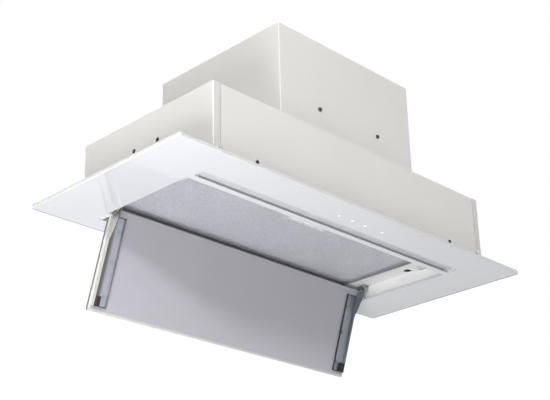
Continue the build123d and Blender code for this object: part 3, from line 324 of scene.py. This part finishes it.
# %% [markdown]
# ## Painted sheet
#
# The housing, the tower and the recess are zinc-coated sheet with a baked warm white paint. Such
# paint has a soft gloss with fine orange peel: shallow dimples about a millimetre wide. A noise
# makes the dimples, and a much larger one lets the tone drift, because one wide wall is never
# coated quite evenly. Two masks add tones along the folds. The last millimetre of a folded corner
# gets a painted highlight: it is paler, as a round that always finds a lamp would be. The end
# plates reach round the front as narrow flanges, a little duller than the long sheet, and a thin
# dark joint runs where the two sheets meet.


# %% Paint finish
fold_width, fold_softness = 0.0010, 0.0003
joint_width, joint_softness = 0.0010, 0.0004
dust = 0.5


def painted_sheet(name, colour, roughness=0.38, peel=0.12):
    """Baked paint with a drifting tone, fine specks and orange peel."""
    finish, tree, surface = new_finish(name, colour, roughness, specular_ior_level=0.45)
    place = place_in(tree)
    drift = spread(tree, noise_in(tree, place, scale=7.0, detail=4.0), 0.0, 1.0)
    toned = blend_colours(tree, drift, shade(colour, 0.975), shade(colour, 1.015))
    grit = noise_in(tree, place, scale=900.0, detail=6.0)
    specks = spread(tree, grit, 0.0, dust, low_in=0.62, high_in=0.80)
    wear = noise_in(tree, place, scale=35.0, detail=4.0)
    plug_in(
        tree, surface,
        blend_colours(tree, specks, toned, shade(colour, 0.86)),
        spread(tree, wear, roughness - 0.05, roughness + 0.07),
    )
    relief(tree, surface, noise_in(tree, place, scale=950.0, detail=2.0), peel, depth=0.0006)
    return finish


def paint_fold_highlight(finish, half_width, front, tone):
    """Paints a highlight on the last millimetre of a folded front corner, as if it caught the
    light.
    """
    tree = finish.node_tree
    near_corner = beyond(tree, from_middle(tree), half_width - fold_width, fold_softness)
    to_front = where_along(tree, "Object", forward)
    near_front = beyond(tree, to_front, -front - fold_width, fold_softness)
    lay_over(finish, both(tree, near_corner, near_front), tone)


def front_flange(finish, inner_edge, tone, line):
    """The end plates' narrow front flanges are duller, with a dark joint along their inner edge."""
    tree = finish.node_tree
    to_front = where_along(tree, "Normal", forward)
    lay_over(finish, beyond(tree, to_front, limit=0.8, softness=0.1), tone)
    joint = short_of(tree, from_middle(tree), inner_edge + joint_width, joint_softness)
    lay_over(finish, joint, line)


end_low, end_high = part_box("housing_end_right")
print("end plate's flange starts at", round(end_low.x, 4))
tower_half_width, tower_front = 0.1485, -0.121
warm_white = (0.800, 0.785, 0.757)
# A pale tone for the painted highlights on folded corners.
fold_painted_highlight = (0.88, 0.88, 0.87)
housing_paint = painted_sheet("housing_paint", warm_white)
end_paint = painted_sheet("end_paint", (0.785, 0.775, 0.752))
front_flange(end_paint, end_low.x, tone=(0.71, 0.705, 0.69), line=(0.50, 0.50, 0.49))
tower_paint = painted_sheet("tower_paint", warm_white)
# Painted highlights on the folded front corners of the end plates and the tower.
paint_fold_highlight(end_paint, end_high.x, end_low.y, fold_painted_highlight)
paint_fold_highlight(tower_paint, tower_half_width, tower_front, fold_painted_highlight)
recess_paint = painted_sheet("recess_paint", (0.88, 0.88, 0.88), 0.30)
rim_paint = painted_sheet("rim_paint", (0.80, 0.80, 0.80), 0.35)
socket_paint = painted_sheet("socket_paint", (0.62, 0.62, 0.63), 0.35, peel=0.06)
print("paint finishes ready")

# %% [markdown]
# ## Bare and brushed metals
#
# The filter, the arms, the pins and the blower are bare metal. What sets one metal from another is
# mostly its grain, so one recipe takes a grain direction: the noise is drawn out along it into
# long scratches that feed both the gloss and the relief. Zinc plating gets patches instead, from a
# Voronoi pattern. The filter is the odd one out: hundreds of small aluminium facets scatter the
# light so well that it looks matt, so its two finishes are only half metal. A noise of a few
# millimetres darkens some facets with painted shade, as if they lay in the hollows of a crumpled
# net. The net in front is the brighter one, and the slab behind it is painted darker, as shade for
# its depth.


# %% Metal finishes
def brushed_metal(name, colour, roughness, grain=(12.0, 900.0, 900.0), tarnish=0.12, tilt=0.0):
    """Bare metal, scratched along the direction in which its grain has the smallest number."""
    finish, tree, surface = new_finish(name, colour, roughness, metallic=1.0)
    scratches = noise_in(tree, place_in(tree, grain, tilt), scale=1.0, detail=5.0)
    clouds = spread(tree, noise_in(tree, place_in(tree), scale=18.0), 0.0, 1.0)
    plug_in(
        tree, surface,
        blend_colours(tree, clouds, shade(colour, 1.0 - tarnish), colour),
        spread(tree, scratches, roughness * 0.75, roughness * 1.35),
    )
    relief(tree, surface, scratches, strength=0.18, depth=0.0003)
    return finish


def zinc_plate(name, colour, roughness, flakes_per_metre):
    """Plated metal whose flakes differ a little in tone and gloss."""
    finish, tree, surface = new_finish(name, colour, roughness, metallic=1.0)
    place = place_in(tree)
    flakes = cells_in(tree, place, flakes_per_metre)["Color"]
    bright = spread(tree, flakes, 0.0, 1.0, low_in=0.1, high_in=0.9)
    plug_in(
        tree, surface,
        blend_colours(tree, bright, shade(colour, 0.88), shade(colour, 1.06)),
        spread(tree, flakes, roughness - 0.08, roughness + 0.08, low_in=0.1, high_in=0.9),
    )
    relief(tree, surface, noise_in(tree, place, scale=700.0), strength=0.10, depth=0.0003)
    return finish


def crumple_with_painted_shade(finish, hollow_painted_shade):
    """Makes a metal half matt and paints shade on some facets, as if they lay in hollows."""
    tree = finish.node_tree
    surface = tree.nodes["Principled BSDF"]
    surface.inputs["Metallic"].default_value = 0.5
    surface.inputs["Specular IOR Level"].default_value = 0.2
    facets = noise_in(tree, place_in(tree), scale=380.0, detail=2.0)
    lay_over(finish, spread(tree, facets, 0.0, 1.0, low_in=0.4, high_in=0.7), hollow_painted_shade)


# Painted shade: facets in hollows are darker, and the slab behind the net is a darker copy.
filter_metal = brushed_metal(
    "filter_metal", (0.78, 0.785, 0.82), 0.58, grain=(30.0, 30.0, 900.0), tarnish=0.04
)
crumple_with_painted_shade(filter_metal, hollow_painted_shade=(0.67, 0.67, 0.71))
filter_painted_shade = brushed_metal(
    "filter_painted_shade", (0.64, 0.645, 0.69), 0.60, grain=(30.0, 300.0, 900.0), tarnish=0.06
)
crumple_with_painted_shade(filter_painted_shade, hollow_painted_shade=(0.54, 0.54, 0.58))
bright_steel = brushed_metal("bright_steel", (0.70, 0.70, 0.71), 0.20, (900.0, 60.0, 900.0))
plated_screw = zinc_plate("plated_screw", (0.68, 0.68, 0.69), 0.32, 900.0)
galvanised = zinc_plate("galvanised", (0.66, 0.67, 0.68), 0.42, 160.0)
cast_metal = zinc_plate("cast_metal", (0.60, 0.61, 0.62), 0.55, 1200.0)
lamp_trough = brushed_metal("lamp_trough", (0.80, 0.81, 0.82), 0.28)
damper_metal = brushed_metal("damper_metal", (0.50, 0.51, 0.52), 0.48, (900.0, 12.0, 900.0))
bronze = brushed_metal("bronze", (0.62, 0.45, 0.24), 0.42, (400.0, 400.0, 400.0))
bracket_steel = zinc_plate("bracket_steel", (0.60, 0.60, 0.62), 0.40, 500.0)
dark_screw = zinc_plate("dark_screw", (0.10, 0.095, 0.09), 0.45, 900.0)
print("metal finishes ready")

# %% [markdown]
# ## The arms of the flap
#
# Both arms are folded from zinc sheet. The flat strip lies on the flap, a low lip runs round it,
# and the flange stands up on the outer side. The cut edges of the fold are dark, and the same dark
# tone also paints the shade along the lips, at the ends of the strip and on top of the flange. One
# brushed finish does it all: masks made from the place along the flap, from the distance to the
# middle and from the direction a face looks in pick out strip, flange and cut edge. The arms are
# painted lit and shaded copies: the left arm is painted in light, with a pale flange that is a
# painted reflection, and the right arm is painted in shade, so the recipe takes their tones. By
# the left fold the dark band is wider and softer, as painted shade of the flange on the strip, so
# the recipe takes its limit and its softness. The arms' screws only get a darker tone at the right,
# as painted shade.


# %% Arm finish
hinge_line = Vector((0.0, 0.0938, 0.0049))
down_flap = Vector((0.0, -math.cos(flap_tilt), -math.sin(flap_tilt)))
hinge_reach = hinge_line.dot(down_flap)
strip_start, strip_end = hinge_reach + 0.0130, hinge_reach + 0.1424
lip_edge, flange_root = 0.2428, 0.2634
cut_softness = 0.0006


def arm_finish(name, strip, flange, cut_edge_and_painted_shade, fold=flange_root, fold_blur=cut_softness):
    """A brushed arm with its own tones for strip, flange and cut edges, with their painted light
    and shade.
    """
    finish = brushed_metal(name, strip, 0.36, (300.0, 5.0, 300.0), tarnish=0.15, tilt=-flap_tilt)
    tree = finish.node_tree
    reach = where_along(tree, "Object", down_flap)
    width = from_middle(tree)
    ends = either(
        tree,
        short_of(tree, reach, strip_start, cut_softness),
        beyond(tree, reach, strip_end, cut_softness),
    )
    sides = either(
        tree,
        short_of(tree, width, lip_edge, cut_softness),
        beyond(tree, width, fold, fold_blur),
    )
    # The dark cut edges, with painted shade along the lips, at the strip's ends and by the fold.
    lay_over(finish, either(tree, ends, sides), cut_edge_and_painted_shade)
    upright = beyond(tree, width, flange_root, crisp)
    lay_over(finish, upright, flange)
    # The top of the flange gets the dark tone as painted shade.
    top = beyond(tree, where_along(tree, "Normal", flap_back), limit=0.9, softness=0.1)
    lay_over(finish, both(tree, upright, top), cut_edge_and_painted_shade)
    return finish


# The left arm in painted light: a lit strip, a pale flange as painted reflection, painted shade by
# the fold.
arm_left_painted_light = arm_finish(
    "arm_left_painted_light", strip=(0.48, 0.50, 0.55), flange=(0.72, 0.71, 0.66),
    cut_edge_and_painted_shade=(0.17, 0.175, 0.175), fold=0.2580, fold_blur=0.0050,
)
# The right arm in painted shade, darker all over.
arm_right_painted_shade = arm_finish(
    "arm_right_painted_shade", strip=(0.25, 0.272, 0.305), flange=(0.34, 0.37, 0.40),
    cut_edge_and_painted_shade=(0.10, 0.105, 0.11),
)
arm_screw_metal = brushed_metal("arm_screw_metal", (0.44, 0.46, 0.50), 0.36)
screw_tree = arm_screw_metal.node_tree
# Painted shade: the screws on the right get a darker tone.
right_screws_painted_shade = beyond(screw_tree, where_along(screw_tree, "Object", rightward), 0.0)
lay_over(arm_screw_metal, right_screws_painted_shade, (0.20, 0.215, 0.22))
print("hinge lies", round(hinge_reach, 4), "m along the flap")

# %% [markdown]
# ## The flap's inner sheet
#
# The inside of the flap is a smooth lacquered sheet in a cool lilac grey. It is mostly paint, so
# the edge of the panel can cast a soft shadow on it, and a thin clear coat adds the milky gleam
# near grazing angles. The faint long waves in it are what any thin rolled sheet has, and they keep
# the gleam from looking ruled.


# %% Lacquered sheet
def lacquered_sheet(name, colour):
    """Coated metallic paint on a sheet with faint long waves."""
    finish, tree, surface = new_finish(
        name, colour, roughness=0.34, metallic=0.15, coat_weight=0.35, coat_roughness=0.10
    )
    place = place_in(tree, (1.0, 1.6, 1.6))
    clouds = spread(tree, noise_in(tree, place, scale=6.0, detail=2.0), 0.0, 1.0)
    plug_in(
        tree, surface,
        blend_colours(tree, clouds, shade(colour, 0.97), shade(colour, 1.02)),
        spread(tree, noise_in(tree, place, scale=40.0), 0.30, 0.40),
    )
    relief(tree, surface, noise_in(tree, place, scale=9.0, detail=1.0), strength=0.20, depth=0.0010)
    return finish


flap_lacquer = lacquered_sheet("flap_lacquer", (0.48, 0.466, 0.515))
print("lacquer ready")

# %% [markdown]
# ## Plastics, foam and circuit boards
#
# The small pieces are moulded. Moulded plastic has a fine spark-eroded texture, foam has open
# pores, and a circuit board is lacquer over glass cloth. One moulded recipe covers the plastics
# and the boards by changing its grain, and the foam swaps the noise for small Voronoi cells, which
# look like pores.


# %% Moulded, foamed and printed finishes
def moulded(name, colour, roughness, grain=1400.0, texture=0.15, **sockets):
    """Moulded plastic with so many grains per metre, and how strong its texture is."""
    finish, tree, surface = new_finish(name, colour, roughness, **sockets)
    place = place_in(tree)
    clouds = spread(tree, noise_in(tree, place, scale=60.0), 0.0, 1.0)
    plug_in(
        tree, surface,
        blend_colours(tree, clouds, shade(colour, 0.93), shade(colour, 1.05)),
        spread(tree, noise_in(tree, place, scale=220.0), roughness - 0.06, roughness + 0.08),
    )
    relief(tree, surface, noise_in(tree, place, grain, detail=2.0), texture, depth=0.0004)
    return finish


def foam(name, colour):
    """Dull foam with painted shade in its pores."""
    finish, tree, surface = new_finish(name, colour, roughness=0.95, specular_ior_level=0.2)
    pores = cells_in(tree, place_in(tree), scale=900.0)["Distance"]
    # Painted shade: the pores get a darker tone.
    pore_painted_shade = spread(tree, pores, 1.0, 0.0, low_in=0.0, high_in=0.7)
    toned = blend_colours(tree, pore_painted_shade, colour, shade(colour, 0.35))
    tree.links.new(toned, surface.inputs["Base Color"])
    relief(tree, surface, pores, strength=0.7, depth=0.0008)
    return finish


cover_plastic = moulded("cover_plastic", (0.045, 0.045, 0.05), 0.50)
collar_plastic = moulded("collar_plastic", (0.06, 0.06, 0.065), 0.48)
catch_plastic = moulded("catch_plastic", (0.045, 0.033, 0.028), 0.5, specular_ior_level=0.3)
# The right catch is the same plastic painted darker, as shade.
catch_plastic_painted_shade = moulded(
    "catch_plastic_painted_shade", (0.012, 0.015, 0.014), 0.5, specular_ior_level=0.3
)
impeller_plastic = moulded("impeller_plastic", (0.045, 0.046, 0.052), 0.44)
grip_plastic = moulded("grip_plastic", (0.86, 0.86, 0.87), 0.26, texture=0.04)
box_plastic = moulded("box_plastic", (0.72, 0.72, 0.70), 0.45)
sleeve_plastic = moulded("sleeve_plastic", (0.78, 0.78, 0.77), 0.22, texture=0.05)
opal_plastic = moulded("opal_plastic", (0.70, 0.71, 0.73), 0.34, texture=0.05)
board_lacquer = moulded("board_lacquer", (0.03, 0.16, 0.08), 0.32, grain=2600.0, texture=0.10)
seal_foam = foam("seal_foam", (0.07, 0.07, 0.07))
# A grey for the bars of painted shade round the filter.
painted_shade_grey = foam("painted_shade_grey", (0.38, 0.37, 0.41))
print("moulded finishes ready")

# %% [markdown]
# ## The lit marks
#
# Behind the glass, four marks of the touch field shine white. A mark is small, so a plain emission
# would look like a sticker. A little emission on a white base keeps it part of the glass.

# %% Lit finish
lit_mark, mark_tree, mark_surface = new_finish("lit_mark", (0.95, 0.96, 1.0), 0.3)
mark_surface.inputs["Emission Color"].default_value = (0.95, 0.97, 1.0, 1.0)
mark_surface.inputs["Emission Strength"].default_value = 0.3
mark_gloss = spread(mark_tree, noise_in(mark_tree, place_in(mark_tree), scale=900.0), 0.25, 0.35)
mark_tree.links.new(mark_gloss, mark_surface.inputs["Roughness"])
print("lit marks ready")

# %% [markdown]
# ## Dressing the pieces
#
# Each piece keeps its own mesh and only swaps its material. A table from finish to piece names is
# easier to check than sixty lines of code, and the line printed at the end names any piece that
# was forgotten.

# %% Give every piece its finish
wardrobe = [
    (panel_glass, ["glass_panel"]),
    (flap_glass, ["flap_glass"]),
    (lit_mark, ["touch_marks"]),
    (rim_paint, ["panel_rim"]),
    (housing_paint, ["housing_wrap"]),
    (end_paint, ["housing_end_left", "housing_end_right"]),
    (tower_paint, ["tower_wrap", "tower_back", "tower_lid"]),
    (recess_paint, ["recess_pan"]),
    (bracket_steel, ["hinge_bracket_left", "hinge_bracket_right"]),
    (socket_paint, ["catch_strikers"]),
    (filter_metal, ["filter_frame"]),
    (filter_painted_shade, ["filter_mesh"]),
    (grip_plastic, ["filter_latch"]),
    (arm_left_painted_light, ["flap_arm_left"]),
    (arm_right_painted_shade, ["flap_arm_right"]),
    (arm_screw_metal, ["arm_screws"]),
    (flap_lacquer, ["flap_sheet"]),
    (catch_plastic, ["flap_catch_left", "hinge_washers"]),
    (catch_plastic_painted_shade, ["flap_catch_right"]),
    (plated_screw, ["housing_screws", "tower_rivets", "motor_screws", "collar_screws"]),
    (dark_screw, ["tower_screws"]),
    (bright_steel, ["hinge_pins", "motor_shaft", "damper_pins"]),
    (galvanised, ["rim_angles", "tower_rail", "scroll_wrap", "scroll_cheek_left",
                  "scroll_cheek_right", "blower_flange", "motor_bracket", "capacitor_clip"]),
    (cast_metal, ["motor_body"]),
    (bronze, ["motor_bearings"]),
    (lamp_trough, ["light_channel"]),
    (damper_metal, ["damper_left", "damper_right"]),
    (opal_plastic, ["light_diffuser"]),
    (board_lacquer, ["light_board", "touch_board", "power_board"]),
    (cover_plastic, ["touch_cover", "cable_gland", "gland_nut"]),
    (collar_plastic, ["outlet_collar"]),
    (impeller_plastic, ["impeller"]),
    (box_plastic, ["light_driver", "power_box", "power_box_cover"]),
    (sleeve_plastic, ["capacitor"]),
    (seal_foam, ["cabinet_seal", "outlet_gasket"]),
]
dressed = set()
for finish, names in wardrobe:
    for name in names:
        piece = nodes[name]
        piece.data.materials.clear()
        piece.data.materials.append(finish)
        dressed.add(name)
print("dressed", len(dressed), "of", len(nodes), "left:", sorted(set(nodes) - dressed))

# %% [markdown]
# ## The filter's expanded mesh
#
# A grease filter is a stack of expanded aluminium: slit sheet pulled open into diamonds. The solid
# slab is right for weight, but its face should be a real net. Each row of the net is a flat zigzag
# ribbon. The rows touch at their bends, so together they make diamonds. Two nets give the depth: a
# fine one below the slab and a coarser one above it, shifted by half a cell.


# %% Weave the net
strand_thickness = 0.0004
bend_share = 0.94
row_share = 0.47
net_clearance = 0.0004
frame_lip = 0.003


def zigzag_net(name, low, high, level, pitch, row, strand, shift):
    """Flat zigzag ribbons along X that fill a rectangle at one level."""
    shape = bmesh.new()
    rows = int((high.y - low.y) / row)
    bends = int((high.x - low.x) / pitch * 2)
    for i in range(rows):
        middle = low.y + row * (i + 0.5)
        way = 1 if i % 2 else -1
        ribbon = []
        for j in range(bends + 1):
            x = low.x + (high.x - low.x) * j / bends
            swing = way * (1 if (j + shift) % 2 else -1) * row / 2
            y = middle + swing * bend_share
            ribbon.append((shape.verts.new((x, y - strand / 2, level)),
                           shape.verts.new((x, y + strand / 2, level))))
        for near, far in zip(ribbon, ribbon[1:]):
            shape.faces.new((near[0], far[0], far[1], near[1]))
    mesh = bpy.data.meshes.new(name)
    shape.to_mesh(mesh)
    shape.free()
    net = bpy.data.objects.new(name, mesh)
    scene.collection.objects.link(net)
    thick = net.modifiers.new("thickness", "SOLIDIFY")
    thick.thickness = strand_thickness
    thick.offset = 0.0
    return net


mesh_low, mesh_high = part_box("filter_mesh")
frame_low, frame_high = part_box("filter_frame")
net_low = Vector((frame_low.x + frame_lip, mesh_low.y + frame_lip, mesh_low.z))
net_high = Vector((frame_high.x - frame_lip, mesh_high.y - frame_lip, mesh_high.z))
for name, level, pitch, strand, shift in (
    ("filter_net_lower", mesh_low.z - net_clearance, 0.0040, 0.0006, 0),
    ("filter_net_upper", mesh_high.z + net_clearance, 0.0060, 0.0008, 1),
):
    net = zigzag_net(name, net_low, net_high, level, pitch, pitch * row_share, strand, shift)
    net.data.materials.append(filter_metal)
    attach(net, "housing")
    print(name, "has", len(net.data.polygons), "strands")

# %% [markdown]
# ## Painted shade round the filter
#
# Grey lines run along the rear and the short sides of the filter, where the step between the
# filter and its pan lies in shade. Grey bars with a foam finish are put there as painted shade.
# Each is a plain bar between two corners. The rear one stands in the step, the two at the sides
# lie under the frame, and the right one is wider than the left.


# %% Lay the strips
def bar(name, low, high):
    """A plain bar between two corners."""
    shape = bmesh.new()
    bmesh.ops.create_cube(shape, size=1.0)
    for corner in shape.verts:
        corner.co = Vector([low[i] if corner.co[i] < 0 else high[i] for i in range(3)])
    mesh = bpy.data.meshes.new(name)
    shape.to_mesh(mesh)
    shape.free()
    piece = bpy.data.objects.new(name, mesh)
    scene.collection.objects.link(piece)
    return piece


strip_gap = 0.0002
left_width, right_width = 0.0015, 0.0064
left_x, right_x = frame_low.x + strip_gap, frame_high.x - strip_gap
front_y, rear_y = frame_low.y + strip_gap, frame_high.y - strip_gap
step_front, step_rear = mesh_high.y - 0.0018, mesh_high.y + 0.0010
step_bottom, step_top = frame_low.z + strip_gap, frame_low.z + 0.0028
under_bottom, under_top = frame_low.z - 0.0006, frame_low.z - 0.00005
# Three bars of painted shade along the rear and the short sides of the filter.
for name, low, high in (
    ("filter_shade_strip",
     (left_x, step_front, step_bottom), (right_x, step_rear, step_top)),
    ("filter_shade_strip_left",
     (left_x, front_y, under_bottom), (left_x + left_width, rear_y, under_top)),
    ("filter_shade_strip_right",
     (right_x - right_width, front_y, under_bottom), (right_x, rear_y, under_top)),
):
    strip = bar(name, low, high)
    strip.data.materials.append(painted_shade_grey)
    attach(strip, "housing")
    print(name, "measures", [round(high[i] - low[i], 4) for i in range(3)], "m")

# %% [markdown]
# ## Painted light beside the hinge
#
# The opening is a little wider than the flap. At its two rear corners the pan looks white, not
# like a dark gap, because light reaches in there. A small light block in each corner, nearly level
# with the glass, is painted light. The blocks stop short of the flap, so it swings past them
# freely.

# %% Close the rear corners
block_inner, block_outer = 0.2712, 0.2798
block_front, block_rear = 0.0990, 0.1218
block_inset = 0.0004
panel_low, panel_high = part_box("glass_panel")
# A light block at each rear corner, as painted light.
for name, low_x, high_x in (
    ("corner_painted_light_left", -block_outer, -block_inner),
    ("corner_painted_light_right", block_inner, block_outer),
):
    block = bar(
        name,
        (low_x, block_front, panel_low.z + block_inset),
        (high_x, block_rear, panel_high.z),
    )
    block.data.materials.append(grip_plastic)
    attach(block, "housing")
    print(block.name, "is", round(high_x - low_x, 4), "m wide")

# %% [markdown]
# ## The room
#
# The picture has no room at all: the hood floats on white. A white world that only the camera,
# mirrors and glass can see gives that, while the real light comes from large soft lamps and a weak
# cool fill. The floor lies so far down that a camera straight below the hood still stands above
# it. The camera and mirrors see it as white as the world, and for all other light it is a plain
# pale floor.

# %% World and floor
floor_half, floor_level = 9.0, -3.4
world = bpy.data.worlds.new("studio")
scene.world = world
world.use_nodes = True
world_tree = world.node_tree
world_tree.nodes.clear()
rays = world_tree.nodes.new("ShaderNodeLightPath").outputs
seen = either(world_tree, rays["Is Camera Ray"], rays["Is Glossy Ray"])
seen = either(world_tree, seen, rays["Is Transmission Ray"])
fill = world_tree.nodes.new("ShaderNodeBackground")
fill.inputs["Color"].default_value = (0.94, 0.95, 1.0, 1.0)
fill.inputs["Strength"].default_value = 0.05
white = world_tree.nodes.new("ShaderNodeBackground")
white.inputs["Color"].default_value = (1.0, 1.0, 1.0, 1.0)
white.inputs["Strength"].default_value = 1.0
choose = world_tree.nodes.new("ShaderNodeMixShader")
world_out = world_tree.nodes.new("ShaderNodeOutputWorld")
world_tree.links.new(seen, choose.inputs["Fac"])
world_tree.links.new(fill.outputs["Background"], choose.inputs[1])
world_tree.links.new(white.outputs["Background"], choose.inputs[2])
world_tree.links.new(choose.outputs["Shader"], world_out.inputs["Surface"])

floor_corners = [
    (x * floor_half, y * floor_half, floor_level) for x, y in ((-1, -1), (1, -1), (1, 1), (-1, 1))
]
floor_mesh = bpy.data.meshes.new("floor")
floor_mesh.from_pydata(floor_corners, [], [(0, 1, 2, 3)])
floor = bpy.data.objects.new("floor", floor_mesh)
scene.collection.objects.link(floor)
floor_finish, floor_tree, floor_surface = new_finish("floor_finish", (0.80, 0.80, 0.80), 0.7)
floor_tone = spread(floor_tree, noise_in(floor_tree, place_in(floor_tree), scale=2.0), 0.0, 1.0)
floor_colour = blend_colours(floor_tree, floor_tone, (0.79, 0.79, 0.79), (0.81, 0.81, 0.81))
floor_tree.links.new(floor_colour, floor_surface.inputs["Base Color"])
floor_rays = floor_tree.nodes.new("ShaderNodeLightPath").outputs
floor_seen = either(floor_tree, floor_rays["Is Camera Ray"], floor_rays["Is Glossy Ray"])
floor_white = floor_tree.nodes.new("ShaderNodeEmission")
floor_mix = floor_tree.nodes.new("ShaderNodeMixShader")
floor_out = floor_tree.nodes["Material Output"]
floor_tree.links.new(floor_seen, floor_mix.inputs["Fac"])
floor_tree.links.new(floor_surface.outputs["BSDF"], floor_mix.inputs[1])
floor_tree.links.new(floor_white.outputs["Emission"], floor_mix.inputs[2])
floor_tree.links.new(floor_mix.outputs["Shader"], floor_out.inputs["Surface"])
floor_mesh.materials.append(floor_finish)
print("floor at z", floor_mesh.vertices[0].co.z)

# %% [markdown]
# ## Lamps
#
# The left end and the front of the hood are bright, and the flap's inside and the right end fall
# off. A small hard box at the front left draws the shadow of the panel across the flap. Two panels
# below lift the glass and the filter. A large one in front lights the walls, with weak ones at the
# left and the right. The lamps behind, above and at the right side hardly reach what the camera
# sees: they light the hood's other sides.


# %% Soft lamps
def soft_lamp(name, place, aim, size, power, tint=(1.0, 1.0, 1.0)):
    """A rectangular lamp that looks at a point."""
    light = bpy.data.lights.new(name, "AREA")
    light.shape = "RECTANGLE"
    light.size, light.size_y = size
    light.energy = power
    light.color = tint
    lamp = bpy.data.objects.new(name, light)
    scene.collection.objects.link(lamp)
    way = (Vector(aim) - Vector(place)).to_track_quat("-Z", "Y")
    lamp.matrix_world = Matrix.Translation(place) @ way.to_matrix().to_4x4()
    print(name, "at", place, "with", power, "W")


warm = (1.0, 0.985, 0.97)
soft_lamp("lamp_box_left", (-2.30, -1.60, 0.48), (0.1, 0.1, -0.05), (0.24, 0.20), 40.0)
soft_lamp("lamp_below_near", (-0.98, -0.33, -0.80), (-0.12, 0.0, 0.0), (0.7, 0.7), 13.4)
soft_lamp("lamp_below_front", (-0.8, -1.5, -1.3), (-0.1, 0.0, 0.0), (1.4, 1.4), 2.5)
soft_lamp("lamp_front_high", (-0.6, -3.0, 1.4), (0.0, 0.0, 0.1), (2.4, 1.6), 44.0, warm)
soft_lamp("lamp_left", (-3.0, 0.3, 0.3), (0.0, 0.0, 0.1), (1.8, 1.8), 1.5)
soft_lamp("lamp_right", (2.8, -1.6, 0.4), (0.1, 0.0, 0.0), (1.6, 1.4), 2.0)
soft_lamp("lamp_right_side", (3.0, 0.7, 0.4), (0.0, 0.0, 0.1), (1.8, 1.8), 36.0)
soft_lamp("lamp_behind", (0.4, 3.0, 1.2), (0.0, 0.0, 0.1), (2.2, 1.8), 62.0)
soft_lamp("lamp_above", (0.1, 0.3, 2.8), (0.0, 0.0, 0.1), (1.8, 1.8), 16.0)
